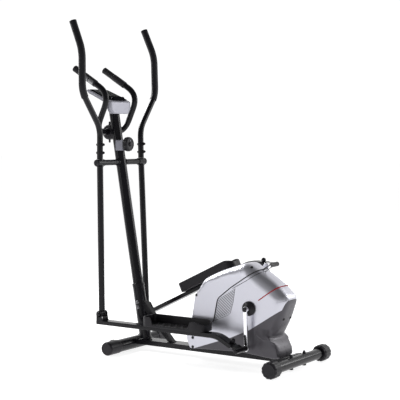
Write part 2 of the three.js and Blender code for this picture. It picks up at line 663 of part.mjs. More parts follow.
function addDrive() {
  const at = [0, FLYWHEEL.y, FLYWHEEL.z];
  const { r, x0, x1, hubR } = FLYWHEEL;
  const wheel = turned('x', [
    [6.4, PULLEY.x0], [hubR, PULLEY.x0], [hubR, x0], [r, x0], [r, x1], [20, x1], [20, x1 + 3],
    [6.4, x1 + 3], [6.4, PULLEY.x0],
  ], at, 20);
  add('flywheel', LOOK.castIron, wheel);
  add('drive_belt', LOOK.rubber, cut(beltLoop(5.2, PULLEY.x0 + 1, PULLEY.x1 - 1),
    beltLoop(2.2, PULLEY.x0 - 1, PULLEY.x1 + 1)));

  const shell = rod('x', 20, -14, 40, crankCentre, 16);
  const post = box(-8, 30, CRANK.y - 22, CRANK.y + 22, RAIL.z1 + GAP, CRANK.z);
  add('crank_bearing', LOOK.blackPaint,
    cut(join(shell, post), rod('x', boreRadius(PULLEY.spindleR, 12), -60, 60, crankCentre)));

  // Fork: two plates from the rail, the flywheel's axle and the brake's pivot pin.
  const brake = [FLYWHEEL.y - BRAKE.back, FLYWHEEL.z + BRAKE.up];
  const plates = [-37, 33].map((x) => prism('x', [
    [FLYWHEEL.y - 30, RAIL.z1 + GAP], [FLYWHEEL.y + 34, RAIL.z1 + GAP],
    [FLYWHEEL.y + 16, FLYWHEEL.z + 14, 10], [brake[0] + 10, brake[1] + 10, 8],
    [brake[0] - 10, brake[1] - 4, 8], [FLYWHEEL.y - 20, FLYWHEEL.z - 20, 8],
  ], x, x + 4));
  add('flywheel_fork', LOOK.blackPaint, join(...plates, rod('x', 6, -37, 37, at),
    rod('x', BRAKE.pinR, -37, 37, [0, ...brake])));

  // The magnet shoe curves over the flywheel's rim and swings on the fork's pin.
  const shoeOuter = rod('x', BRAKE.outer, x0, x1, at, 32);
  const shoeInner = rod('x', BRAKE.inner, x0 - 1, x1 + 1, at, 32);
  const wedge = prism('x', [
    [FLYWHEEL.y, FLYWHEEL.z], [FLYWHEEL.y - 160, FLYWHEEL.z + 85],
    [FLYWHEEL.y - 130, FLYWHEEL.z + 200], [FLYWHEEL.y + 12, FLYWHEEL.z + 200],
  ], x0 - 2, x1 + 2);
  const eye = rod('x', BRAKE.eyeR, x0, x1, [0, ...brake], 16);
  add('magnet_bracket', LOOK.steel, cut(join(cut(shoeOuter.intersect(wedge), shoeInner), eye),
    shoeInner, rod('x', BRAKE.pinR + GAP, 0, 60, [0, ...brake], 14)));
}

// -------------------------------------------------------------------- casing

// Side-view outline: [y, z, corner radius, how far the rounding eats into the
// flat side].
const CASING_CORNERS = [
  [-18, 46, 12, 10], [-42, 100, 30, 12], [-8, 190, 60, 14], [8, 303, 25, 16],
  [34, 338, 10, 20], [54, 377, 25, 26], [138, 421, 60, 30], [246, 457, 50, 32],
  [286, 470, 35, 32], [342, 440, 50, 34], [437, 383, 60, 36], [498, 328, 14, 38],
  [500, 300, 14, 36], [468, 210, 60, 32], [428, 139, 12, 26], [456, 108, 25, 20],
  [469, 75, 10, 18], [468, 50, 8, 14], [450, 42, 10, 12], [266, 56, 40, 10],
].reverse();

const SEAM = [[-2, 46], [156, 102], [216, 122], [317, 168], [476, 269], [497, 312], [540, 330]];

// A body of the casing's shape: rings across x, each drawn in towards the
// casing's middle as the edge rounds over to the flat side.
function casingBody(half, inset) {
  const [cy, cz] = CASING.centre;
  const points = [];
  CASING_CORNERS.forEach((corner, i) => {
    const last = CASING_CORNERS[(i + CASING_CORNERS.length - 1) % CASING_CORNERS.length];
    const next = CASING_CORNERS[(i + 1) % CASING_CORNERS.length];
    const [y, z, r, edge] = corner;
    const back = new THREE.Vector2(last[0] - y, last[1] - z);
    const on = new THREE.Vector2(next[0] - y, next[1] - z);
    const reach = Math.min(r, back.length() / 2.1, on.length() / 2.1);
    const start = new THREE.Vector2(y, z).addScaledVector(back.normalize(), reach);
    const end = new THREE.Vector2(y, z).addScaledVector(on.normalize(), reach);
    const bend = new THREE.QuadraticBezierCurve(start, new THREE.Vector2(y, z), end);
    bend.getPoints(2).forEach((p) => points.push([p.x, p.y, edge]));
  });

  const stations = [0, 0.7, 1];
  const rings = [...stations.slice(1).reverse().map((t) => -t), ...stations];
  const positions = [];
  for (const t of rings) {
    const round = 1 - Math.sqrt(1 - t * t);
    for (const [y, z, edge] of points) {
      const length = Math.hypot(y - cy, z - cz);
      const k = (length - inset - edge * round) / length;
      positions.push(half * Math.sign(t) * Math.min(1, Math.abs(t) ** 0.5), cy + (y - cy) * k,
        cz + (z - cz) * k);
    }
  }
  const n = points.length;
  const index = [];
  for (let ring = 0; ring + 1 < rings.length; ring += 1) {
    for (let i = 0; i < n; i += 1) {
      const [a, b] = [ring * n + i, ring * n + ((i + 1) % n)];
      index.push(a, b, a + n, b, b + n, a + n);
    }
  }
  const [first, last] = [positions.length / 3, positions.length / 3 + 1];
  positions.push(-half, cy, cz, half, cy, cz);
  const top = (rings.length - 1) * n;
  for (let i = 0; i < n; i += 1) {
    const j = (i + 1) % n;
    index.push(first, j, i, last, top + i, top + j);
  }
  const geometry = new THREE.BufferGeometry();
  geometry.setAttribute('position', new THREE.Float32BufferAttribute(positions, 3));
  geometry.setIndex(index);
  return solid(geometry);
}

function addCasing() {
  const { half, wall, seam } = CASING;
  const hollow = cut(casingBody(half, 0), casingBody(half - wall, wall));
  const spindle = rod('x', 14, -90, 90, crankCentre);
  const well = box(-RAIL.half - 1, RAIL.half + 1, 20, 440, 30, 66);
  const shell = cut(hollow, spindle, railSolid(1), well);
  const below = (lift) => prism('x',
    [...SEAM.map(([y, z]) => [y, z + lift]), [540, -10], [-2, -10]], -100, 100);
  const upper = cut(shell, below(seam));
  const lower = shell.intersect(below(-seam));
  for (const [side, s] of SIDES) {
    const halfSpace = s > 0
      ? box(seam, 200, -200, 700, -50, 700)
      : box(-200, -seam, -200, 700, -50, 700);
    add(`casing_upper_${side}`, LOOK.silver, upper.intersect(halfSpace));
    add(`casing_lower_${side}`, LOOK.darkGrey, lower.intersect(halfSpace));
    const inlay = prism('x', [
      [125, 194, 4], [147, 292, 8], [158, 304, 8], [238, 350, 4], [228, 289, 20], [212, 238, 6],
      [201, 227, 6],
    ], half + GAP, half + 1.8);
    add(`vent_inlay_${side}`, LOOK.inlayGrey, mirrored(inlay, s));
  }
}

// ------------------------------------------------------------------- assembly

addBase();
addCaps();
addMast();
addHandlebar();
addConsole();
addTension();
for (const [side, s] of SIDES) {
  addSwingSide(side, s);
  addFootSide(side, s);
}
addCrank();
addDrive();
addCasing();

machine.position.y = CENTRING;

export default machine;
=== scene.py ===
"""Elliptical trainer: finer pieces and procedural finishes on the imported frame."""

import json
import math

import bmesh
import bpy
from mathutils import Matrix, Vector


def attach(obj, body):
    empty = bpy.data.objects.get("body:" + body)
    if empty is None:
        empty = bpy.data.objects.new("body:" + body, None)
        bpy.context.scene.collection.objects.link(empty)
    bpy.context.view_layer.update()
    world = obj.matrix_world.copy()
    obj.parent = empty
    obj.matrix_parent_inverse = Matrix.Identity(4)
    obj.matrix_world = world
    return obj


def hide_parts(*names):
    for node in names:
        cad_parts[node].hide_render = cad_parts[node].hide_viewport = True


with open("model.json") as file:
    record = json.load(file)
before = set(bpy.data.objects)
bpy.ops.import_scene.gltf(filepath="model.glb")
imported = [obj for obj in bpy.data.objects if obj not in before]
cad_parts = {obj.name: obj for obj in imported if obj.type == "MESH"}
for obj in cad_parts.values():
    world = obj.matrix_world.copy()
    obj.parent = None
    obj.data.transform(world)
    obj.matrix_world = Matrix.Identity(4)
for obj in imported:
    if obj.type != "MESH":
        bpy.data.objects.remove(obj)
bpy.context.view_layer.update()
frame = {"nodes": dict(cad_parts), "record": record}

# Shapes are drawn in millimetres in the frame's axes, with Y counted from a line
# 52.5 mm behind the origin.
DRAWING = Matrix.Translation((0, 0.0525, 0)) @ Matrix.Scale(0.001, 4)
SIDES = (("left", 1), ("right", -1))


# ------------------------------------------------------------------ materials

def ramp_range(nodes, links, source, low, high):
    """A noise value spread over a range."""
    spread = nodes.new("ShaderNodeMapRange")
    spread.inputs["From Min"].default_value = 0.3
    spread.inputs["From Max"].default_value = 0.7
    spread.inputs["To Min"].default_value = low
    spread.inputs["To Max"].default_value = high
    links.new(source, spread.inputs["Value"])
    return spread.outputs["Result"]


def noise(nodes, links, where, scale, detail=3.0):
    node = nodes.new("ShaderNodeTexNoise")
    node.inputs["Scale"].default_value = scale
    node.inputs["Detail"].default_value = detail
    links.new(where, node.inputs["Vector"])
    return node.outputs["Fac"]


def shaded(colour, factor):
    return tuple(min(1.0, c * factor) for c in colour) + (1.0,)


def finish_of(name, colour, rough, spread=0.05, metal=0.0, coat=0.0, grain=0.0, grain_scale=1600.0,
              mottle=0.08, wear=0.0, stretch=(1, 1, 1), gloss=0.5):
    """A material whose colour, roughness and relief all vary over the surface."""
    made = bpy.data.materials.new(name)
    made.use_nodes = True
    nodes, links = made.node_tree.nodes, made.node_tree.links
    shader = nodes["Principled BSDF"]
    shader.inputs["Metallic"].default_value = metal
    shader.inputs["Coat Weight"].default_value = coat
    shader.inputs["Coat Roughness"].default_value = 0.12
    shader.inputs["Specular IOR Level"].default_value = gloss
    where = nodes.new("ShaderNodeTexCoord").outputs["Object"]
    scaled = nodes.new("ShaderNodeMapping")
    scaled.inputs["Scale"].default_value = stretch
    links.new(where, scaled.inputs["Vector"])
    where_scaled = scaled.outputs["Vector"]

    blotch = noise(nodes, links, where, 11.0, 4.0)
    smear = noise(nodes, links, where_scaled, 90.0, 4.0)
    links.new(ramp_range(nodes, links, smear, rough - spread, rough + spread),
              shader.inputs["Roughness"])
    tint = nodes.new("ShaderNodeMix")
    tint.data_type = "RGBA"
    tint.inputs["A"].default_value = shaded(colour, 1 - mottle)
    tint.inputs["B"].default_value = shaded(colour, 1 + mottle)
    links.new(blotch, tint.inputs["Factor"])
    surface = tint.outputs["Result"]
    if wear:
        edge = nodes.new("ShaderNodeMapRange")
        edge.inputs["From Min"].default_value = 0.53
        edge.inputs["From Max"].default_value = 0.62
        edge.inputs["To Max"].default_value = wear
        links.new(nodes.new("ShaderNodeNewGeometry").outputs["Pointiness"], edge.inputs["Value"])
        rubbed = nodes.new("ShaderNodeMix")
        rubbed.data_type = "RGBA"
        rubbed.inputs["B"].default_value = shaded([c + 0.12 for c in colour], 1.4)
        links.new(edge.outputs["Result"], rubbed.inputs["Factor"])
        links.new(surface, rubbed.inputs["A"])
        surface = rubbed.outputs["Result"]

    relief = nodes.new("ShaderNodeBump")
    relief.inputs["Strength"].default_value = max(grain, 0.004)
    relief.inputs["Distance"].default_value = 0.0004
    links.new(noise(nodes, links, where_scaled, grain_scale, 2.0), relief.inputs["Height"])
    links.new(relief.outputs["Normal"], shader.inputs["Normal"])
    links.new(surface, shader.inputs["Base Color"])
    return made


FINISHES = {
    "black_paint": ((0.0058, 0.0054, 0.0078), 0.24, dict(coat=0.1, grain=0.05, grain_scale=420,
                                                         wear=0.03, gloss=0.2)),
    "black_plastic": ((0.0125, 0.0112, 0.0150), 0.42, dict(grain=0.12, wear=0.03, gloss=0.28)),
    "foam": ((0.0075, 0.0070, 0.0095), 0.5, dict(spread=0.08, grain=0.5, grain_scale=900,
                                                 mottle=0.2, gloss=0.24)),
    "chrome": ((0.82, 0.82, 0.85), 0.1, dict(spread=0.03, metal=1.0, mottle=0.03)),
    "zinc": ((0.35, 0.35, 0.37), 0.32, dict(metal=1.0, grain=0.1, grain_scale=700)),
    "silver_shell": ((0.62, 0.62, 0.685), 0.33, dict(spread=0.015, metal=0.85, grain=0.004,
                                                     grain_scale=2600, mottle=0.03)),
    "console_silver": ((0.36, 0.36, 0.41), 0.42, dict(spread=0.04, metal=0.3, grain=0.1, mottle=0.03)),
    "dark_shell": ((0.085, 0.080, 0.092), 0.38, dict(spread=0.04, metal=0.35, grain=0.12, mottle=0.06)),
    "inlay_grey": ((0.30, 0.305, 0.33), 0.45, dict(metal=0.3, grain=0.1)),
    "grey_plastic": ((0.27, 0.27, 0.32), 0.4, dict(metal=0.25, grain=0.15)),
    "steel": ((0.30, 0.30, 0.31), 0.35, dict(spread=0.1, metal=1.0, grain=0.12, stretch=(1, 1, 8))),
    "cast_iron": ((0.06, 0.06, 0.063), 0.55, dict(metal=0.7, grain=0.5, grain_scale=800, wear=0.3)),
    "rubber": ((0.014, 0.014, 0.014), 0.78, dict(grain=0.4, grain_scale=700)),
    "screen": ((0.008, 0.008, 0.010), 0.5, dict(spread=0.05, gloss=0.0)),
    "display": ((0.018, 0.022, 0.020), 0.3, dict(spread=0.04, gloss=0.0)),
    "groove": ((0.006, 0.006, 0.007), 0.6, dict(grain=0.2)),
    "red_line": ((0.36, 0.004, 0.010), 0.5, dict(mottle=0.1, gloss=0.15)),
}
LOOKS = {name: finish_of(name, colour, rough, **more) for name, (colour, rough, more) in FINISHES.items()}


# ------------------------------------------------------------ drawing helpers

ACROSS = {
    "x": lambda a, b, s: (s, a, b),
    "y": lambda a, b, s: (b, s, a),
    "z": lambda a, b, s: (a, b, s),
}


def merged(*shapes):
    """Several (points, faces) shapes as one."""
    points, faces = [], []
    for part_points, part_faces in shapes:
        start = len(points)
        points += part_points
        faces += [tuple(i + start for i in face) for face in part_faces]
    return points, faces


def placed(shape, matrix):
    return [matrix @ Vector(p) for p in shape[0]], shape[1]


def mirrored(shape, sign):
    if sign > 0:
        return shape
    return [(-p[0], p[1], p[2]) for p in shape[0]], [tuple(reversed(f)) for f in shape[1]]


def loft(rings):
    """Skin over rings of equal length, with flat ends."""
    count = len(rings[0])
    points = [p for ring in rings for p in ring]
    faces = []
    for k in range(len(rings) - 1):
        for i in range(count):
            j = (i + 1) % count
            faces.append((k * count + i, k * count + j, (k + 1) * count + j, (k + 1) * count + i))
    last = (len(rings) - 1) * count
    faces.append(tuple(reversed(range(count))))
    faces.append(tuple(last + i for i in range(count)))
    return points, faces


def corner_arc(back, here, on, radius, share, steps):
    """Points that round a corner, using at most one share of each side."""
    reach = min(radius, (back - here).length / share, (on - here).length / share)
    start = here + (back - here).normalized() * reach
    end = here + (on - here).normalized() * reach
    return [start * (1 - t) ** 2 + here * 2 * t * (1 - t) + end * t * t
            for t in (k / steps for k in range(steps + 1))]


def softened(profile, soft):
    """A profile with its corners eased by short arcs."""
    points = [Vector(p) for p in profile]
    out = [profile[0]]
    for back, here, on in zip(points, points[1:], points[2:]):
        out += [tuple(p) for p in corner_arc(back, here, on, soft, 2.2, 4)]
    out.append(profile[-1])
    return out


def turned(axis, profile, centre=(0, 0, 0), sides=40, soft=1.0, shape=None):
    """A turned piece: profile points are (radius, station). shape varies the radius."""
    rings = []
    for r, s in softened(profile, soft):
        ring = []
        for i in range(sides):
            angle = 2 * math.pi * i / sides
            reach = max(r, 0.01) * (shape(angle, r) if shape else 1)
            p = ACROSS[axis](reach * math.cos(angle), reach * math.sin(angle), s)
            ring.append(tuple(p[k] + centre[k] for k in range(3)))
        rings.append(ring)
    return loft(rings)


def rod(axis, r, low, high, centre=(0, 0, 0), soft=1.0, sides=40):
    return turned(axis, [(0, low), (r, low), (r, high), (0, high)], centre, sides, soft)


def bent(points, bend, steps=8):
    """Stations along a run whose corners are rounded."""
    points = [Vector(p) for p in points]
    out = [points[0]]
    for back, here, on in zip(points, points[1:], points[2:]):
        out += corner_arc(back, here, on, bend, 2.02, steps)
    out.append(points[-1])
    return out


def tube(points, r, bend=0.0, sides=28, edge=1.5, flat=1.0, radius=None, even=None):
    """A round bar along a run. radius(u) scales it along its length."""
    path = bent(points, bend) if bend else [Vector(p) for p in points]
    if even:
        path = resampled(path, even)
    lengths = [0.0]
    for a, b in zip(path, path[1:]):
        lengths.append(lengths[-1] + (b - a).length)
    tangents = []
    for i in range(len(path)):
        a, b = path[max(i - 1, 0)], path[min(i + 1, len(path) - 1)]
        tangents.append((b - a).normalized())
    side = tangents[0].orthogonal().normalized()
    if abs(tangents[0].x) < 0.9:
        side = (Vector((1, 0, 0)) - tangents[0] * tangents[0].x).normalized()
    turn_in = [(edge * (1 - math.sin(a)), edge * (1 - math.cos(a)))
               for a in (math.pi / 2, math.pi / 3, math.pi / 6)]
    rings = []
    for i, (p, t) in enumerate(zip(path, tangents)):
        side = (side - t * side.dot(t)).normalized()
        up = t.cross(side)
        scale = radius(lengths[i]) if radius else 1.0
        if i == 0:
            extra = [(run, r * scale - fall) for run, fall in turn_in] + [(edge, r * scale)]
        elif i == len(path) - 1:
            extra = [(-edge, r * scale)] + [(-run, r * scale - fall) for run, fall in turn_in[::-1]]
        else:
            extra = [(0, r * scale)]
        for shift, reach in extra:
            centre = p + t * shift
            rings.append([tuple(centre + (side * math.cos(2 * math.pi * k / sides)
                                          + up * flat * math.sin(2 * math.pi * k / sides)) * reach)
                          for k in range(sides)])
    return loft(rings)


def resampled(path, step):
    """The same run with stations a fixed distance apart."""
    out, carry = [path[0]], 0.0
    for a, b in zip(path, path[1:]):
        length = (b - a).length
        at = step - carry
        while at < length:
            out.append(a.lerp(b, at / length))
            at += step
        carry = length - (at - step)
    out.append(path[-1])
    return out


def rounded(corners, steps=5):
    """The outline through corners (a, b, radius)."""
    out = []
    count = len(corners)
    for i, corner in enumerate(corners):
        here = Vector(corner[:2])
        back, on = Vector(corners[i - 1][:2]), Vector(corners[(i + 1) % count][:2])
        radius = corner[2] if len(corner) > 2 else 0
        arc = corner_arc(back, here, on, radius, 2.02, steps) if radius else [here]
        out += [tuple(p) for p in arc]
    return out


def prism(axis, corners, low, high, edge=1.0, steps=5):
    """An outline drawn along an axis, its sharp edges eased."""
    section = rounded(corners, steps)
    rings = [[ACROSS[axis](a, b, s) for a, b in section] for s in (low, high)]
    shape = loft(rings)
    return eased(shape, edge) if edge else shape


def block(x0, x1, y0, y1, z0, z1, edge=1.0):
    return prism("x", [(y0, z0), (y1, z0), (y1, z1), (y0, z1)], x0, x1, edge)


SHARP = math.radians(30)     # edges between flatter faces aren't rounded


def to_bmesh(shape):
    mesh = bmesh.new()
    points = [mesh.verts.new(p) for p in shape[0]]
    for face in shape[1]:
        mesh.faces.new([points[i] for i in face])
    bmesh.ops.recalc_face_normals(mesh, faces=mesh.faces)
    return mesh


def from_bmesh(mesh):
    mesh.verts.index_update()
    shape = ([tuple(v.co) for v in mesh.verts], [tuple(v.index for v in f.verts) for f in mesh.faces])
    mesh.free()
    return shape


def eased(shape, edge):
    """The shape with every sharp edge rounded over."""
    mesh = to_bmesh(shape)
    sharp = [e for e in mesh.edges if len(e.link_faces) == 2
             and e.calc_face_angle(0) > SHARP]
    bmesh.ops.bevel(mesh, geom=sharp, offset=edge, segments=2, profile=0.5, affect="EDGES",
                    clamp_overlap=True)
    return from_bmesh(mesh)


def cut(shape, *tools):
    """The shape less other closed shapes."""
    target = as_object("target", shape)
    for tool_shape in tools:
        tool = as_object("tool", tool_shape)
        step = target.modifiers.new("cut", "BOOLEAN")
        step.object, step.solver = tool, "EXACT"
        bpy.context.view_layer.update()
        done = bpy.data.meshes.new_from_object(
            target.evaluated_get(bpy.context.evaluated_depsgraph_get()))
        target.modifiers.clear()
        target.data = done
        bpy.data.objects.remove(tool)
    mesh = bmesh.new()
    mesh.from_mesh(target.data)
    bpy.data.objects.remove(target)
    return from_bmesh(mesh)


def as_object(name, shape):
    data = bpy.data.meshes.new(name)
    mesh = to_bmesh(shape)
    mesh.to_mesh(data)
    mesh.free()
    made = bpy.data.objects.new(name, data)
    bpy.context.scene.collection.objects.link(made)
    return made


def piece(name, look, body, shape, stands_for=(), place=DRAWING, slot=None, angle=38):
    """A finished piece of the machine, riding on a body."""
    mesh = to_bmesh(placed(shape, place))
    bmesh.ops.remove_doubles(mesh, verts=mesh.verts, dist=2e-6)
    bmesh.ops.recalc_face_normals(mesh, faces=mesh.faces)
    data = bpy.data.meshes.new(name)
    mesh.to_mesh(data)
    mesh.free()
    data.shade_smooth()
    data.set_sharp_from_angle(angle=math.radians(angle))
    made = bpy.data.objects.new(name, data)
    bpy.context.scene.collection.objects.link(made)
    weigh = made.modifiers.new("even_shading", "WEIGHTED_NORMAL")
    weigh.keep_sharp = True
    data.materials.append(LOOKS[look])
    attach(made, body)
    if stands_for:
        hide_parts(*stands_for)


def fine(node, look, body, shape, **more):
    """The finished form of one of the frame's own nodes."""
    piece(f"{node}_fine", look, body, shape, [node], **more)


# ------------------------------------------------------------------ dimensions

MAST_BASE, MAST_LEAN, MAST_R, SOCKET_R = (-318.5, 56), -0.1719, 25, 28.6
FRONT_BAR_AT, REAR_BAR_AT, WHEEL_AT = (0, -374, 32.5), (0, 526, 38), (0, -430, 30)
RAIL_HALF = 38
AXLE_Y, AXLE_Z = -466, 913
ARM_X, ARM_R, ARM_LENGTH = 165, 15, 728
ARM_ANGLE = {"left": 0.55, "right": 2.41}
CRANK_Y, CRANK_Z, CRANK_R, CRANK_ANGLE = 313.5, 265, 176, 2.1
BAR_LENGTH, BAR_DROP = 785, 96
PIVOT_BACK = math.sqrt(BAR_LENGTH ** 2 - BAR_DROP ** 2)
END_SLOPE, END_START, END_BOLT = math.radians(27.3), 36, 52


def mast_y(z):
    return MAST_BASE[0] + MAST_LEAN * (z - MAST_BASE[1])


def mast_run(z0, z1):
    return [(0, mast_y(z0), z0), (0, mast_y(z1), z1)]


def weld(centre_run, r, side=18):
    """A weld bead along a run, with its ripples."""
    return tube(centre_run, r, even=3.0, sides=side, edge=0.5,
                radius=lambda s: 1 + 0.13 * math.sin(s * 1.6))


def circle_about(axis_points, r, at, sides=40):
    """A closed-looking run round a leaning bar."""
    along = (Vector(axis_points[1]) - Vector(axis_points[0])).normalized()
    side = along.orthogonal().normalized()
    up = along.cross(side)
    centre = Vector(at)
    return [centre + (side * math.cos(2 * math.pi * k / sides) + up * math.sin(2 * math.pi * k / sides)) * r
            for k in range(sides + 1)]


def hex_head(axis, across, low, high, centre):
    """A hexagonal head or nut."""
    corners = [(across / 2 / math.cos(math.pi / 6) * math.cos(k * math.pi / 3),
                across / 2 / math.cos(math.pi / 6) * math.sin(k * math.pi / 3)) for k in range(6)]
    shape = prism(axis, corners, low, high, 0.7)
    return [tuple(p[k] + centre[k] for k in range(3)) for p in shape[0]], shape[1]


def dome(axis, r, low, high, centre):
    """A domed cap whose round face is at high."""
    rise = high - low
    profile = [(0, low), (r, low)] + [
        (r * math.cos(a), low + rise * (0.35 + 0.65 * math.sin(a)))
        for a in (0, 0.3, 0.6, 0.9, 1.2)] + [(0, high)]
    return turned(axis, profile, centre, 32, 0.3)


# ------------------------------------------------------------------------ base

def make_base():
    rail = prism("x", [(-359, 29, 2), (501, 29, 2), (501, 53, 2), (-359, 53, 2)],
                 -RAIL_HALF, RAIL_HALF, 2.5)
    plate = prism("z", [(-78, 481, 5), (78, 481, 5), (78, 501.6, 2), (-78, 501.6, 2)], 40, 58, 1.2)
    beads = merged(
        weld([(-RAIL_HALF, -344, 55), (RAIL_HALF, -344, 55)], 2.6),
        weld([(-38.5, 480, 53), (38.5, 480, 53)], 2.4),
        weld([(-78, 502, 59), (78, 502, 59)], 2.0),
    )
    fine("base_rail", "black_paint", "frame", merged(rail, plate, beads))
    piece("rail_bolt_head", "zinc", "frame", hex_head("z", 15, 22.5, 29, (0, -330, 0)))

    front = rod("x", 30, -225, 225, FRONT_BAR_AT, 2)
    lugs = []
    for _, s in SIDES:
        for x in (104, 128):
            lugs.append(mirrored(prism("x", [(-386, 12, 2), (-440, 20, 9), (-440, 42, 9), (-386, 56, 2)],
                                       x, x + 3, 0.6), s))
        lugs.append(mirrored(rod("x", 4, 103, 132.5, WHEEL_AT, 0.5, 16), s))
    fine("front_stabilizer", "black_paint", "frame", merged(front, *lugs))

    rear = rod("x", 24, -246, 246, REAR_BAR_AT, 2)
    strap = loft([[(x, 526 + r * math.cos(math.radians(a)), 38 + r * math.sin(math.radians(a)))
                   for r, a in [(23.5, t) for t in range(60, 151, 9)]
                   + [(26, t) for t in range(150, 59, -9)]] for x in (-92, -90, 90, 92)])
    fine("rear_stabilizer", "black_paint", "frame", merged(rear, eased(strap, 0.5)))
    for side, s in SIDES:
        x = 60 * s
        nut = merged(turned("z", [(0, 61), (11, 61), (11, 63.2), (0, 63.2)], (x, 526, 0), 28, 0.5),
                     hex_head("z", 13, 62.8, 69.5, (x, 526, 0)), dome("z", 6, 69, 77, (x, 526, 0)),
                     turned("z", [(0, 8.5), (9, 8.5), (10.5, 11), (9, 15), (0, 15)], (x, 526, 0), 28))
        piece(f"rear_bolt_{side}", "black_plastic", "frame", nut)

    for side, s in SIDES:
        cap = turned("x", [(0, 226), (30.2, 226), (30.2, 153), (31.9, 153), (32.4, 160), (32.5, 232),
                           (30.2, 238.6), (27, 240.4), (24.5, 240.9), (23.8, 239.6), (0, 239.6)],
                     FRONT_BAR_AT, 56, 0.8)
        fine(f"front_cap_{side}", "black_plastic", "frame", mirrored(cap, s))
        notches = lambda angle, r: 1 - (0.045 if r > 35 and math.cos(angle * 12) > 0.55 else 0)
        rear_cap = turned("x", [(0, 247), (24.4, 247), (24.4, 201), (34, 201), (34.4, 206), (37.8, 208),
                                (38, 215), (38, 252), (36, 257.6), (30, 260.4), (27, 260.8),
                                (26, 259.6), (0, 259.6)], REAR_BAR_AT, 96, 0.8, notches)
        fine(f"rear_cap_{side}", "black_plastic", f"level_cap_{side}", mirrored(rear_cap, s))
        wheel = turned("x", [(4.6, 109), (9, 109), (9, 110.5), (17, 111.5), (18.5, 108.9), (21.5, 109.5),
                             (23, 112), (23, 123), (21.5, 125.5), (18.5, 126.1), (17, 123.5),
                             (9, 124.5), (9, 126), (4.6, 126)], WHEEL_AT, 48, 0.7)
        fine(f"transport_wheel_{side}", "rubber", f"front_wheel_{side}", mirrored(wheel, s))


# ------------------------------------------------------------------------ mast

def make_mast():
    socket = merged(tube(mast_run(48, 322), SOCKET_R, sides=48, edge=1.2),
                    tube(mast_run(306, 321.5), 29.8, sides=48, edge=1.0),
                    weld(circle_about(mast_run(0, 100), 30, (0, mast_y(55), 55.5)), 2.8, 12))
    fine("mast_socket", "black_paint", "frame", socket)
    mast = tube(mast_run(190, 1176), MAST_R, sides=48, edge=0.8)
    fine("mast", "black_paint", "frame", mast)
    corners = [(-350, 226, 3), (-320, 242, 8), (-146, 54, 1), (-178, 54, 1)]
    brace = merged(prism("x", corners, -12.5, 12.5, 2),
                   weld([(-12, -145, 54.5), (12, -145, 54.5)], 1.9))
    fine("socket_brace", "black_paint", "frame", brace)
    for which, z in (("lower", 208), ("upper", 232)):
        at = (0, mast_y(z), z)
        bolt = merged(rod("x", 4, -36, 36, at, 0.5, 20), hex_head("x", 13, 29.2, 34.8, at),
                      turned("x", [(0, 28.8), (9, 28.8), (9, 30.2), (0, 30.2)], at, 28, 0.4),
                      turned("x", [(0, -36), (5, -36), (6.6, -33.5), (6.6, -29), (0, -29)], at, 28, 0.5))
        fine(f"mast_bolt_{which}", "zinc", "frame", bolt)
    axle_at = (0, AXLE_Y, AXLE_Z)
    sleeve = turned("x", [(0, 27), (17.5, 27), (17.5, 33), (0, 33)], axle_at)
    sleeves = [mirrored(sleeve, s) for _, s in SIDES]
    fine("pivot_axle", "black_paint", "frame", merged(rod("x", 14, -185, 185, axle_at), *sleeves))
    for side, s in SIDES:
        cap = turned("x", [(0, 185.4), (14, 185.4), (17.4, 186.6), (17.5, 190), (15.5, 192.5),
                           (11, 193.8), (10, 193), (6, 193.4), (0, 193.9)], axle_at, 40, 0.6)
        fine(f"axle_cap_{side}", "black_plastic", "frame", mirrored(cap, s))


# ------------------------------------------------------------- fixed handlebar

BAR_Y, BAR_Z, BAR_HALF = -532, 1060, 115


def bar_side(s):
    return [(s * BAR_HALF, BAR_Y, BAR_Z), (s * BAR_HALF, -447, 1243), (s * BAR_HALF, -656, 1369.4)]


def grip_plate(top, low, a, b, r, from_deg, to_deg):
    """A thin plate curved round part of a grip, between two shares of its length."""
    along = (low - top).normalized()
    across = Vector((1, 0, 0))
    up = along.cross(across)
    angles = [math.radians(from_deg + (to_deg - from_deg) * k / 10) for k in range(11)]
    rings = []
    for share in (a, a + 0.004, b - 0.004, b):
        lift = -0.4 if share in (a, b) else 0.0
        edge = [(r + lift, t) for t in angles] + [(r - 1.2, t) for t in reversed(angles)]
        rings.append([tuple(top.lerp(low, share) + (across * math.cos(t) + up * math.sin(t)) * reach)
                      for reach, t in edge])
    return loft(rings)


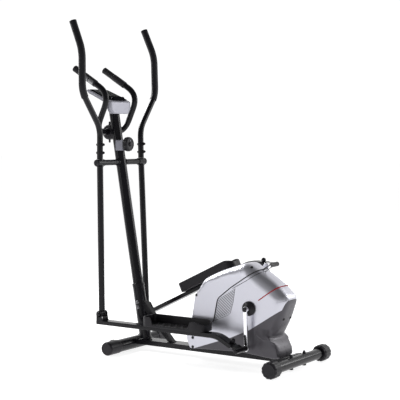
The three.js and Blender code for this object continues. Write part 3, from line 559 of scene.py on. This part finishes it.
def make_handlebar():
    run = bar_side(-1)[::-1] + bar_side(1)
    fine("fixed_handlebar", "black_paint", "frame", tube(run, 14.5, 72, 32, 1.0))
    at = (0, BAR_Y, BAR_Z)
    collar = turned("x", [(0, -20), (27, -20), (33, -18.5), (37, -15), (37.5, -11), (37.5, 11),
                          (37, 15), (33, 18.5), (27, 20), (0, 20)], at, 56, 1.2)
    ring = turned("x", [(0, -21.5), (19, -21.5), (21, -19), (21, 19), (19, 21.5), (0, 21.5)], at, 40)
    fine("handlebar_clamp", "black_plastic", "frame", merged(collar, ring))
    lug = prism("x", [(BAR_Y - 4, BAR_Z - 52, 4), (BAR_Y + 4, BAR_Z - 52, 4), (BAR_Y + 4, BAR_Z + 52, 4),
                      (BAR_Y - 4, BAR_Z + 52, 4)], 2, 9, 1)
    piece("clamp_strap", "black_plastic", "frame", lug)
    for side, s in SIDES:
        top, low = Vector((s * BAR_HALF, -660, 1371.8)), Vector((s * BAR_HALF, -528, 1292))
        ends = [top, top.lerp(low, 0.04), top.lerp(low, 0.06), top.lerp(low, 0.93), low]
        grip = tube(ends, 16.1, sides=36, edge=2.0)
        cap = tube([top + (top - low) * 0.004, top.lerp(low, 0.05)], 16.6, sides=36, edge=3)
        fine(f"fixed_grip_{side}", "foam", "frame", merged(grip, cap))
        sensor = tube([top.lerp(low, 0.46), top.lerp(low, 0.99)], 17.0, sides=36, edge=1.5)
        piece(f"pulse_sensor_{side}", "black_plastic", "frame", sensor)
        outer = 0 if s > 0 else 180
        plates = merged(*[grip_plate(top, low, a, a + 0.2, 17.5, outer - 38, outer + 38)
                          for a in (0.5, 0.74)])
        piece(f"pulse_plates_{side}", "steel", "frame", plates)


# --------------------------------------------------------------------- console

CONSOLE_PIVOT, CONSOLE_SLOPE, CONSOLE_HALF = (-470, 1211.4), 22.8, 88


def console_slab(corners, inset):
    """A slab across the console, narrower to the front, with rounded rear corners and ends."""
    profile = rounded(corners, 5)
    half = CONSOLE_HALF - inset
    mid_z = sum(z for _, z in profile) / len(profile)
    rings = []
    for x, pinch in [(half, 3.4), (half - 1.5, 1.4), (half - 4, 0.3), (half - 8, 0), (half - 12, 0),
                     (half - 17, 0), (half - 24, 0), (35, 0)]:
        ring = []
        for y, z in profile:
            narrow = 1 - 0.08 * max(0.0, -464 - y) / 150
            near = max(0.0, 1 - (-464 - y) / 22)
            corner = 24 - math.sqrt(max(0.0, 24 ** 2 - max(0.0, x - half + 24) ** 2))
            middle = mid_z if y > -490 else 1222 + (-464 - y) * 0.2
            drop = max(0.0, 1187 - z) / 38
            ring.append((x * narrow * (1 - 0.24 * drop ** 2), y - 0.75 * corner * near,
                         z + max(-pinch, min(pinch, (middle - z) * 0.2))))
        rings.append(ring)
    return loft([[(-x, y, z) for x, y, z in ring] for ring in rings] + rings[::-1])


def make_console():
    face = DRAWING @ Matrix.Translation((0, *CONSOLE_PIVOT)) @ Matrix.Rotation(
        math.radians(-CONSOLE_SLOPE), 4, "X")
    shell = console_slab([(-464, 1149, 4), *[(-464, z, 1) for z in (1158, 1166, 1174, 1182)],
                          (-464, 1207, 9), (-472, 1211.4, 3), (-614, 1271.2, 5), (-611, 1258.5, 5),
                          (-479, 1201.5, 6), *[(-478, z, 1) for z in (1182, 1174, 1166, 1158)],
                          (-478, 1149, 4)], 0)
    fine("console_housing", "console_silver", "frame", shell, angle=50, slot="silver_shell")
    # The housing's lower part is a near-black slab: painted shade of the housing's underside.
    tray = console_slab([(-480, 1204, 2), (-608, 1259.5, 2), (-604, 1251.5, 4), (-484, 1194.5, 4)], 2.5)
    piece("console_underside_painted_shade", "black_plastic", "frame", tray, angle=50)

    plate = prism("z", [(-75, -12, 14), (-71, -147, 8), (71, -147, 8), (75, -12, 14)], 0.3, 2.4, 0.8)
    hood = loft([[(x, y, z) for y, z in rounded([(-5.5, 0.4, 2), (-5.7, 4, 2), (-13, 17.2 - d, 3),
                                                 (-18, 17 - d, 4), (-22.4, 2.3, 2), (-22.4, 0.4)], 4)]
                 for x, d in [(-44, 7), (-41, 2), (-36, 0), (0, 0), (36, 0), (41, 2), (44, 7)]])
    fine("console_screen", "screen", "frame", merged(plate, eased(hood, 0.5)), place=face)
    rim = prism("z", [(-58, -60, 6), (-55, -132, 6), (55, -132, 6), (58, -60, 6)], 2.2, 3.4, 0.6)
    piece("display_rim", "black_plastic", "frame", rim, place=face)
    glass = prism("z", [(-53, -65, 4), (-50.5, -127, 4), (50.5, -127, 4), (53, -65, 4)], 3.0, 3.8, 0.3)
    piece("display_window", "display", "frame", glass, place=face, slot="screen")
    bars = merged(*[block(x - 13, x + 13, -82 - 18 * row, -73 - 18 * row, 3.7, 4.0, 0)
                    for row in range(3) for x in (-32, 0, 32)])
    piece("display_segments", "groove", "frame", bars, place=face, slot="screen")
    for i, x in enumerate((-26, 0, 26)):
        cap = turned("z", [(0, -1.2), (6.5, -1.2), (6.5, 3.0), (5.6, 4.1), (3.5, 3.8), (0, 3.5)],
                     (x, -30, 0), 36, 0.5)
        fine(f"console_button_{i + 1}", "grey_plastic", f"button_{i + 1}", cap, place=face)
    neck = tube(mast_run(1140, 1200), 22, sides=40, edge=0.6)
    fine("console_bracket", "black_plastic", "frame", neck)


# ------------------------------------------------------------- tension control

def make_tension():
    housing = cut(prism("y", [(970, -28, 5), (1022, -28, 5), (1022, 28, 5), (970, 28, 5)], -479, -434, 2.5),
                  tube(mast_run(900, 1100), MAST_R + 0.2, sides=48, edge=0.1))
    fine("tension_housing", "grey_plastic", "frame", housing)
    fluted = lambda angle, r: 1 + (0.028 * math.cos(angle * 14) if r > 30 else 0)
    at = (0, 0, 1001)
    grip = turned("y", [(0, -433.6), (31, -433.6), (33.5, -432), (34.6, -429), (34.6, -415),
                        (33, -411.5), (29.5, -408.6), (24, -407.2), (22.5, -408.6), (12, -409.4),
                        (10.6, -407), (9.4, -403), (7.5, -401.7), (0, -401.6)], at, 112, 0.9, fluted)
    fine("tension_knob", "black_plastic", "tension_knob", grip)
    mark = block(-1.3, 1.3, -408.8, -406.9, 1001 + 13, 1001 + 22, 0.3)
    piece("tension_mark", "grey_plastic", "tension_knob", mark)


# ----------------------------------------------------------- swing arms, levers

def handle_run(s):
    return [(s * ARM_X, 0, 17.4), (s * ARM_X, 3, 165), (s * 297, 6, 335), (s * 297, 8, 530),
            (s * 294.4, -48, 669)]


def make_swing(side, s):
    body = f"swing_{side}"
    arm = DRAWING @ Matrix.Translation((0, AXLE_Y, AXLE_Z)) @ Matrix.Rotation(
        math.radians(ARM_ANGLE[side]), 4, "X")
    x = s * ARM_X
    lower = merged(
        tube([(x, 0, -ARM_LENGTH + 9), (x, 0, 16)], ARM_R, sides=32, edge=1.0),
        mirrored(rod("x", 17, 137, 186, (0, 0, 0), 1.2), s),
        mirrored(rod("x", ARM_R, 145.8, 184.2, (0, 0, -ARM_LENGTH), 1.2), s),
        *[mirrored(weld(circle_about([(0, 0, 0), (0, 0, 1)], r, (ARM_X, 0, z), 36), 1.8, 10), s)
          for r, z in ((15.2, -18.5), (14.6, -ARM_LENGTH + 15))],
    )
    fine(f"swing_arm_{side}", "black_paint", body, lower, place=arm)
    fine(f"handle_{side}", "black_paint", body, tube(handle_run(s), 14.6, 42, 32, 1.0), place=arm)
    for name, z in (("lower", 48), ("upper", 87)):
        y = 3 * (z - 17.4) / 110
        bolt = merged(rod("y", 3.8, -22, 22, (x, y, z), 0.4, 16),
                      turned("y", [(0, 14.2), (8.6, 14.2), (8.6, 16), (0, 16)], (x, y, z), 24, 0.4),
                      hex_head("y", 13, 15.5, 21, (x, y, z)), dome("y", 6, 20.5, 28, (x, y, z)),
                      turned("y", [(0, -20), (5, -20), (8, -16.5), (8.2, -14), (0, -14)],
                             (x, y, z), 24, 0.6))
        piece(f"lever_bolt_{name}_{side}", "black_plastic", body, bolt, place=arm)

    path = resampled(bent(handle_run(s), 42, 12), 4)
    foam = [p for p in path if p.z > 309]
    total = sum((b - a).length for a, b in zip(foam, foam[1:]))

    def swell(at):
        """Foam bulges a little at its end rings."""
        edge = min(at, total - at)
        return 1.0 + 0.02 * math.exp(-(edge / 7) ** 2)

    fine(f"handle_grip_{side}", "foam", body, tube(foam, 17.2, sides=36, edge=2.5, radius=swell), place=arm)


# -------------------------------------------------------- foot bars and pedals

def capped_bolt(y, z, r, s):
    inner, outer = ARM_X - 25.4, ARM_X + 25.4
    shape = turned("x", [(0, inner - 6.5), (r * 0.55, inner - 6.2), (r * 0.88, inner - 4.6), (r, inner - 2),
                         (r, inner), (6, inner), (6, outer), (r, outer), (r, outer + 2),
                         (r * 0.88, outer + 4.6), (r * 0.55, outer + 6.2), (0, outer + 6.5)],
                   (0, y, z), 32, 0.6)
    return mirrored(shape, s)


def crank_turn(side):
    return math.radians(CRANK_ANGLE) + (math.pi if side == "right" else 0)


def foot_place(side):
    swing = math.radians(ARM_ANGLE[side])
    pivot = Vector((AXLE_Y + ARM_LENGTH * math.sin(swing), AXLE_Z - ARM_LENGTH * math.cos(swing)))
    turn = crank_turn(side)
    pin = Vector((CRANK_Y + CRANK_R * math.sin(turn), CRANK_Z - CRANK_R * math.cos(turn)))
    slope = math.atan2(pin.y - pivot.y, pin.x - pivot.x) + math.atan2(BAR_DROP, PIVOT_BACK)
    return DRAWING @ Matrix.Translation((0, *pin)) @ Matrix.Rotation(slope, 4, "X")


def ears(corners, centre, r):
    """A pair of rounded ears at the bar's two faces."""
    pair = []
    for low in (ARM_X - 25, ARM_X + 20.5):
        pair.append(prism("x", corners, low, low + 4.5, 0.7))
        pair.append(rod("x", r, low, low + 4.5, (0, *centre), 0.7, 36))
    return merged(*pair)


def make_pedal_shape():
    x0, x1, y0, y1, z0, z1, wall, lip = 98, 208, -512, -173, 66.4, 112, 4, 78

    def outline(inset):
        return rounded([(x0 + inset, y0 + inset, 26 - inset), (x1 - inset, y0 + inset, 34 - inset),
                        (x1 - inset, y1 - inset, 64 - inset), (x0 + inset, y1 - inset, 40 - inset)], 12)

    def top_at(x, y):
        """The rim's height: low along the outer side, sloping off at the heel."""
        outer = 1 / (1 + math.exp(-(x - (x1 - 20)) / 3))
        middle = 1 / (1 + math.exp(-(y - (y0 + 58)) / 2.6)) / (1 + math.exp((y - (y1 - 72)) / 2.6))
        high = z1 - 17 * max(0.0, (y - (y1 - 46)) / 46) ** 2
        return high + (lip - high) * outer * middle

    outer_line, inner_line = outline(0), outline(wall)
    dense_outer, dense_inner = [], []
    for i in range(len(outer_line)):
        (a, b), (c, d) = [(Vector(line[i]), Vector(line[(i + 1) % len(line)]))
                          for line in (outer_line, inner_line)]
        parts = max(1, int((b - a).length / 3))
        dense_outer += [a.lerp(b, k / parts) for k in range(parts)]
        dense_inner += [c.lerp(d, k / parts) for k in range(parts)]
    rings = [[(p.x * 0.985 + 153 * 0.015, p.y * 0.99 - 342 * 0.01, z0) for p in dense_outer],
             [(p.x, p.y, z0 + 3) for p in dense_outer]]
    rings += [[(p.x, p.y, z0 + 3 + (top_at(p.x, p.y) - z0 - 5) * t) for p in dense_outer] for t in (0.5, 1)]
    tops = [top_at(p.x, p.y) for p in dense_outer]
    for near, far in ((0.7, 0.3), (0.3, 0.7)):
        rings.append([(o.x * near + i.x * far, o.y * near + i.y * far, t)
                      for o, i, t in zip(dense_outer, dense_inner, tops)])
    rings += [[(p.x, p.y, t - 1.5) for p, t in zip(dense_inner, tops)],
              [(p.x, p.y, z0 + 6) for p in dense_inner],
              [(p.x * 0.98 + 153 * 0.02, p.y * 0.99 - 342 * 0.01, z0 + 5) for p in dense_inner]]
    return loft(rings)


def make_pedal_tread():
    """Raised grip bars on the tray's floor, in a herringbone of short runs."""
    bars = []
    for row in range(17):
        y = -490 + row * 17.6
        for column in range(3):
            x = 113 + column * 30
            lean = 6 if (row + column) % 2 else -6
            bars.append(tube([(x, y, 71.8), (x + 20, y + lean, 71.8)], 2.0, sides=10, edge=1.2, flat=0.8))
    return merged(*bars)


def on_end(away, up):
    """A point beside the bar's sloping end, by its distance from the crank pin."""
    return (up * math.sin(END_SLOPE) - away * math.cos(END_SLOPE),
            away * math.sin(END_SLOPE) + up * math.cos(END_SLOPE))


def along_end(start, stop, half, x0, x1, edge):
    return prism("x", [on_end(stop, -half), on_end(stop, half), on_end(start, half),
                       on_end(start, -half)], x0, x1, edge)


def make_foot(side, s):
    body, place = f"foot_{side}", foot_place(side)
    front = -PIVOT_BACK - 17
    bar = cut(prism("x", [(front, 46, 4), (front, 66, 4), (-104, 66, 30), (*on_end(END_START, 10), 4),
                          (*on_end(END_START, -10), 4), (-112, 46, 30)], ARM_X - 25, ARM_X + 25, 3.0, 8),
              along_end(20, 70, 7.4, 138.6, 175.4, 0))
    clevis = ears([(-PIVOT_BACK - 15, 63, 0), (-PIVOT_BACK - 15, BAR_DROP, 0),
                   (-PIVOT_BACK + 15, BAR_DROP, 0), (-PIVOT_BACK + 20, 63, 0)], (-PIVOT_BACK, BAR_DROP), 16)
    beads = merged(*[weld([(x, -PIVOT_BACK + 21, 66.5), (x, -PIVOT_BACK - 14, 66.5)], 1.7)
                     for x in (ARM_X - 24, ARM_X + 24)])
    fine(f"foot_bar_{side}", "black_paint", body, mirrored(merged(bar, clevis, beads), s), place=place)
    fine(f"pedal_{side}", "black_plastic", body, mirrored(make_pedal_shape(), s), place=place, angle=50)
    piece(f"pedal_tread_{side}", "rubber", body, mirrored(make_pedal_tread(), s), place=place,
          slot="black_plastic")
    sleeve = merged(
        turned("x", [(0, 114.6), (10.6, 114.6), (11.5, 116), (11.5, 195), (10.2, 198.6), (7.5, 199.9),
                     (0, 200)], (0, 0, 0), 36, 0.8),
        along_end(0, 28, 10, 133, 181, 1.6), along_end(20, 68, 7, 139, 175, 1.2),
        weld([(132, -12, 3), (132, -12, 3.2), (132, -2, 11.4)], 1.6, 10))
    fine(f"crank_sleeve_{side}", "black_paint", body, mirrored(sleeve, s), place=place)
    fine(f"pivot_bolt_{side}", "black_plastic", body,
         capped_bolt(-PIVOT_BACK, BAR_DROP, 10, s), place=place)
    bolt = placed(turned("z", [(0, -17.3), (5, -17.2), (8.2, -14.6), (8.5, -10.4), (4, -10.4), (4, 10.4),
                               (8, 10.4), (10.4, 12.4), (11, 15), (11, 20), (9.6, 25), (6, 28.4),
                               (0, 29.3)], (0, 0, 0), 36, 1.0),
                  Matrix.Translation((157, *on_end(END_BOLT, 0))) @ Matrix.Rotation(-END_SLOPE, 4, "X"))
    fine(f"hinge_bolt_{side}", "black_plastic", body, mirrored(bolt, s), place=place)


# ----------------------------------------------------------------------- crank

def make_crank():
    for side, s in SIDES:
        centre = DRAWING @ Matrix.Translation((0, CRANK_Y, CRANK_Z))
        place = centre @ Matrix.Rotation(crank_turn(side), 4, "X")
        arm = merged(
            prism("x", [(-9.5, 8, 8), (-9, -CRANK_R, 9), (9, -CRANK_R, 9), (9.5, 8, 8)], 99, 109, 4.6, 6),
            rod("x", 14.5, 91, 111, (0, 0, -CRANK_R), 1.5, 44),
            turned("x", [(0, 88), (13.5, 88), (14, 98), (12.5, 109.5), (0, 109.5)], (0, 0, 0), 44, 1))
        fine(f"crank_arm_{side}", "chrome", "crank", mirrored(arm, s),
             place=place)
        cover = turned("x", [(0, 72.6), (32.6, 72.6), (33, 77), (31.5, 79.6), (27, 82), (25, 84.6),
                             (20, 86.6), (17.5, 89), (0, 89)], (0, 0, 0), 60, 0.8)
        nut_cap = turned("x", [(0, 109.6), (11.5, 109.6), (11, 112.4), (8, 113.8), (0, 114)],
                         (0, 0, 0), 36, 0.5)
        piece(f"hub_cover_{side}", "black_plastic", "crank", mirrored(merged(cover, nut_cap), s),
              place=place)


# ---------------------------------------------------------------------- casing

CASING_HALF, CASING_DOME = 68.0, 2.5
CASING_CENTRE = Vector((270, 250))
CASING_CORNERS = [
    (-18, 46, 12, 10), (-42, 100, 30, 12), (-8, 190, 60, 14), (8, 303, 25, 16), (34, 338, 10, 20),
    (54, 377, 25, 28), (138, 421, 60, 36), (246, 457, 50, 44), (286, 470, 35, 50), (342, 440, 50, 56),
    (437, 383, 60, 60), (498, 328, 14, 56), (500, 300, 14, 50), (468, 210, 60, 40), (428, 139, 12, 28),
    (456, 108, 25, 20), (469, 75, 10, 18), (468, 50, 8, 14), (450, 42, 10, 12), (266, 56, 40, 10),
][::-1]
SEAM = [(-60, 25), (-2, 46), (156, 102), (216, 122), (317, 168), (476, 269), (497, 312), (540, 330)]
CREASE = [(345, 151), (370, 141), (397, 133), (422, 128), (458, 126), (485, 132), (520, 150)]
LOBE_EDGE = [(345, 151), (385, 137), (435, 112), (475, 78), (520, 45)]
CASING_SCREWS = [(312, 450), (25, 303), (5, 101), (5, 57), (448, 52), (471, 223)]
CASING_LINES = [   # name, side-view run, how far it stands off, half width, flatness
    ("panel_gap", [(118, 187), (124, 194), (142, 283), (146, 294), (153, 303), (216, 353), (317, 420),
                   (389, 466)], 0.6, 3.8, 0.6),
    ("inlay_gap", [(129, 194), (201, 224), (214, 236), (229, 289), (239, 351)], 0.4, 1.3, 0.6),
    ("panel_ridge", [(226, 349), (300, 391), (389, 450)], 0.4, 1.6, 0.7),
]


def casing_outline():
    """Side-view stations (y, z, how far the rounding eats into the flat side)."""
    out, count = [], len(CASING_CORNERS)
    for i, (y, z, r, edge) in enumerate(CASING_CORNERS):
        here = Vector((y, z))
        back = Vector(CASING_CORNERS[i - 1][:2])
        on = Vector(CASING_CORNERS[(i + 1) % count][:2])
        out += [(p, edge) for p in corner_arc(back, here, on, r, 2.1, 8)]
    dense = []
    for (a, ea), (b, eb) in zip(out, out[1:] + out[:1]):
        parts = max(1, round((b - a).length / 5))
        dense += [(a.lerp(b, k / parts), ea + (eb - ea) * k / parts) for k in range(parts)]
    return dense


OUTLINE = casing_outline()


def run_distance(point, run):
    """Distance from a point to a run, negative on its right-hand side."""
    best = (1e9, 1.0)
    for a, b in zip(run, run[1:]):
        a, b = Vector(a), Vector(b)
        along = b - a
        t = max(0.0, min(1.0, (point - a).dot(along) / along.length_squared))
        gap = point - (a + along * t)
        sign = 1 if along.x * gap.y - along.y * gap.x >= 0 else -1
        if gap.length < best[0]:
            best = (gap.length, sign)
    return best


def side_relief(point):
    """How far the casing's side stands off its flat plane at a side-view point."""
    spread = (point - CASING_CENTRE).length / 300
    height = CASING_DOME * max(0.0, 1 - spread ** 2)
    gap, sign = run_distance(point, CREASE)
    reach = max(0.0, min(1.0, (point.x - 340) / 45))
    wide = 34 if sign > 0 else 6
    height -= 13.0 * reach * math.exp(-(gap / wide) ** 2)
    gap, sign = run_distance(point, LOBE_EDGE)
    return height + 1.6 * reach * (math.tanh(sign * gap / 7) - 1)


def casing_rings():
    """Rings from one flat side, over the rounding, to the other."""
    def ring(x_share, out_share, inward):
        made = []
        for point, edge in OUTLINE:
            arm = point - CASING_CENTRE
            length = arm.length
            k = (length - edge * out_share) / length * inward
            at = CASING_CENTRE + arm * k
            x = CASING_HALF * x_share
            if abs(x_share) > 0.8:
                x += math.copysign(side_relief(at), x_share) * ((abs(x_share) - 0.8) / 0.2)
            made.append((x, at.x, at.y))
        return made

    flat = [0.02, 0.1, 0.2, 0.3, 0.4] + [0.45 + 0.025 * k for k in range(22)]
    turns = [k / 10 for k in range(10, 0, -1)]
    upper = [ring(1.0, 1.0, f) for f in flat]
    upper += [ring(math.sqrt(math.sin(t * math.pi / 2)), 1 - math.cos(t * math.pi / 2), 1) for t in turns]
    middle = [ring(share, (1 - math.sqrt(1 - share ** 4)), 1) for share in (0.2, 0.0, -0.2)]
    lower = [[(-x, y, z) for x, y, z in made] for made in reversed(upper)]
    return upper + middle + lower


def casing_x(y, z):
    """The left side's surface above a side-view point."""
    arm = Vector((y, z)) - CASING_CENTRE
    heading = math.atan2(arm.y, arm.x)
    best, edge = None, 0
    for (a, ea), (b, _) in zip(OUTLINE, OUTLINE[1:] + OUTLINE[:1]):
        ta = math.atan2(*(a - CASING_CENTRE).yx)
        tb = math.atan2(*(b - CASING_CENTRE).yx)
        sweep = (tb - ta + math.pi) % (2 * math.pi) - math.pi
        part = (heading - ta + math.pi) % (2 * math.pi) - math.pi
        if abs(sweep) > 1e-9 and 0 <= part / sweep <= 1:
            best, edge = (a.lerp(b, part / sweep) - CASING_CENTRE).length, ea
            break
    room = best - arm.length
    if room >= edge:
        return CASING_HALF + side_relief(Vector((y, z)))
    if room <= 0:
        return 0.0
    share = math.sqrt(max(0.0, 1 - (1 - room / edge) ** 2)) ** 0.5
    ramp = max(0.0, (share - 0.8) / 0.2)
    return CASING_HALF * share + side_relief(Vector((y, z))) * ramp


def casing_place(y, z):
    """Where a fitting's own x axis stands square to the casing's surface."""
    out = Vector((6, casing_x(y - 3, z) - casing_x(y + 3, z), casing_x(y, z - 3) - casing_x(y, z + 3)))
    turn = Vector((1, 0, 0)).rotation_difference(out.normalized())
    return Matrix.Translation((casing_x(y, z), y, z)) @ turn.to_matrix().to_4x4()


def on_side(run, s, lift, width, thick):
    """A thin line laid on the casing along a side-view run."""
    points = resampled([Vector((y, z, 0)) for y, z in run], 4.0)
    path = [(s * (casing_x(p.x, p.y) + lift), p.x, p.y) for p in points]
    return tube(path, width, sides=10, edge=0.3, flat=thick)


def make_casing():
    body = loft(casing_rings())
    below = prism("x", [*[(y, z) for y, z in SEAM], (560, -30), (-80, -30)], -120, 120, 0)
    above = prism("x", [*[(y, z + 0.12) for y, z in SEAM], (560, 600), (-80, 600)], -120, 120, 0)
    well = block(-RAIL_HALF - 1, RAIL_HALF + 1, -80, 600, 20, 54, 0)
    upper, lower = cut(body, below, well), cut(body, above, well)
    for side, s in SIDES:
        low, high = (-300, 0.25) if s > 0 else (-0.25, 300)
        other = block(low, high, -200, 700, -100, 700, 0)
        fine(f"casing_upper_{side}", "silver_shell", "frame", cut(upper, other), angle=32)
        fine(f"casing_lower_{side}", "dark_shell", "frame", cut(lower, other), angle=32)
        inlay_corners = [(129, 199, 4), (149, 289, 10), (161, 303, 10), (236, 348, 4), (226, 289, 20),
                         (211, 239, 8), (199, 228, 6)]
        face = CASING_HALF + 0.9
        inlay = prism("x", inlay_corners, face, face + 0.8, 0.2)
        fine(f"vent_inlay_{side}", "dark_shell", "frame", mirrored(inlay, s),
             slot="inlay_grey")
        grooves = []
        for k in range(19):
            z = 178 + k * 13.2
            grooves.append(prism("x", [(100, z + 62), (260, z - 62), (260, z - 56.4), (100, z + 67.6)],
                                 face - 1, face + 4, 0))
        ribs = cut(prism("x", inlay_corners, face + 0.7, face + 2.0, 0), *grooves)
        piece(f"vent_ribs_{side}", "inlay_grey", "frame", mirrored(ribs, s))
        for name, run, lift, width, thick in CASING_LINES:
            line = on_side(run, s, lift, width, thick)
            piece(f"{name}_{side}", "groove", "frame", line, slot="black_plastic")
        for i, (y, z) in enumerate(CASING_SCREWS):
            # Each screw is a near-black disc 14 mm across, wider than its head: its dark is the screw plus
            # painted shade of the recess round it.
            screw = turned("x", [(0, -5), (7, -5), (7, 1.2), (5.8, 1.9), (3, 1.3), (0, 1.3)],
                           (0, 0, 0), 28, 0.3)
            piece(f"casing_screw_{i + 1}_{side}", "groove", "frame",
                  mirrored(placed(screw, casing_place(y, z)), s), slot="black_plastic")
    stripe = []
    for s in (1, -1):
        run = resampled([Vector((363, 306, 0)), Vector((440, 361, 0)), Vector((451.6, 369.3, 0))], 0.5)
        path = [(s * (casing_x(p.x, p.y) + 0.1), p.x, p.y) for p in run]
        path = [p for p in path if abs(p[0]) > 6]
        stripe.append(path)
    whole = stripe[0] + stripe[1][::-1]
    piece("casing_stripe", "red_line", "frame", tube(whole, 3.4, sides=12, edge=0.4, even=3.0, flat=0.7),
          slot="silver_shell")


# -------------------------------------------------------- hidden drive, carried over

def finish_carried_nodes():
    slots = {row["node"]: row["material_slot"] for row in frame["record"]["subparts"]}
    for name, node in frame["nodes"].items():
        node.data.materials.clear()
        node.data.materials.append(LOOKS[slots[name]])


# ------------------------------------------------------- camera, floor and light

def area_light(name, at, toward, size, power):
    data = bpy.data.lights.new(name, "AREA")
    data.shape, data.size, data.size_y = "RECTANGLE", size[0], size[1]
    data.energy = power
    made = bpy.data.objects.new(name, data)
    made.location = at
    made.rotation_mode = "QUATERNION"
    made.rotation_quaternion = (Vector(toward) - Vector(at)).to_track_quat("-Z", "Y")
    bpy.context.scene.collection.objects.link(made)


def make_room():
    """A room that is white beyond the machine, and darker overhead and behind the viewer."""
    world = bpy.data.worlds.new("studio")
    world.use_nodes = True
    nodes, links = world.node_tree.nodes, world.node_tree.links
    heading = nodes.new("ShaderNodeTexCoord").outputs["Generated"]
    beyond = nodes.new("ShaderNodeVectorMath")
    beyond.operation = "DOT_PRODUCT"
    beyond.inputs[1].default_value = (-0.83, -0.55, 0)
    links.new(heading, beyond.inputs[0])
    split = nodes.new("ShaderNodeSeparateXYZ")
    links.new(heading, split.inputs["Vector"])
    shares = []
    for source, ends, values in ((beyond.outputs["Value"], (-0.1, 0.75), (0.24, 1.05)),
                                 (split.outputs["Z"], (0.45, 0.8), (1.0, 0.48))):
        share = nodes.new("ShaderNodeMapRange")
        share.interpolation_type = "SMOOTHSTEP"
        share.inputs["From Min"].default_value, share.inputs["From Max"].default_value = ends
        share.inputs["To Min"].default_value, share.inputs["To Max"].default_value = values
        links.new(source, share.inputs["Value"])
        shares.append(share.outputs["Result"])
    both = nodes.new("ShaderNodeMath")
    both.operation = "MULTIPLY"
    links.new(shares[0], both.inputs[0])
    links.new(shares[1], both.inputs[1])
    links.new(both.outputs["Value"], nodes["Background"].inputs["Strength"])
    nodes["Background"].inputs["Color"].default_value = (1, 1, 1, 1)
    bpy.context.scene.world = world


def floor_finish():
    """A glowing pale floor with one dim patch, well to the side of the machine."""
    paint = finish_of("floor", (0.45, 0.45, 0.455), 0.8, mottle=0.01, gloss=0.0)
    nodes, links = paint.node_tree.nodes, paint.node_tree.links
    shader = nodes["Principled BSDF"]
    shader.inputs["Emission Color"].default_value = (1, 1, 1, 1)
    away = nodes.new("ShaderNodeVectorMath")
    away.operation = "DISTANCE"
    away.inputs[1].default_value = (1.9, -1.6, 0)
    links.new(nodes.new("ShaderNodeTexCoord").outputs["Object"], away.inputs[0])
    fall = nodes.new("ShaderNodeMapRange")
    fall.interpolation_type = "SMOOTHSTEP"
    fall.inputs["From Min"].default_value, fall.inputs["From Max"].default_value = 0.7, 1.1
    fall.inputs["To Min"].default_value, fall.inputs["To Max"].default_value = 0.05, 0.85
    links.new(away.outputs["Value"], fall.inputs["Value"])
    links.new(fall.outputs["Result"], shader.inputs["Emission Strength"])
    return paint


def make_studio():
    floor_data = bpy.data.meshes.new("floor")
    floor_data.from_pydata([(-30, -30, 0), (30, -30, 0), (30, 30, 0), (-30, 30, 0)], [], [(0, 1, 2, 3)])
    floor = bpy.data.objects.new("floor", floor_data)
    floor_data.materials.append(floor_finish())
    bpy.context.scene.collection.objects.link(floor)

    camera_data = bpy.data.cameras.new("camera")
    camera_data.lens, camera_data.sensor_width = 101.6, 36
    camera = bpy.data.objects.new("camera", camera_data)
    camera.location = (4.402, 2.9895, 1.0685)
    camera.rotation_mode = "QUATERNION"
    camera.rotation_quaternion = Vector((-0.8303, -0.5539, -0.0616)).to_track_quat("-Z", "Y")
    bpy.context.scene.collection.objects.link(camera)
    bpy.context.scene.camera = camera

    make_room()
    bpy.context.scene.view_settings.view_transform = "Standard"
    area_light("front_softbox", (-0.4, -3.0, 2.6), (0, 0.1, 0.5), (2.4, 1.6), 170)
    area_light("side_softbox", (2.5, -1.25, 0.75), (0.07, 0.3, 0.3), (0.36, 1.2), 4)
    area_light("rear_softbox", (-2.4, 2.2, 1.8), (0, 0.1, 0.5), (1.2, 2.0), 40)


make_studio()
make_base()
make_mast()
make_handlebar()
make_console()
make_tension()
for side, s in SIDES:
    make_swing(side, s)
    make_foot(side, s)
make_crank()
make_casing()
finish_carried_nodes()
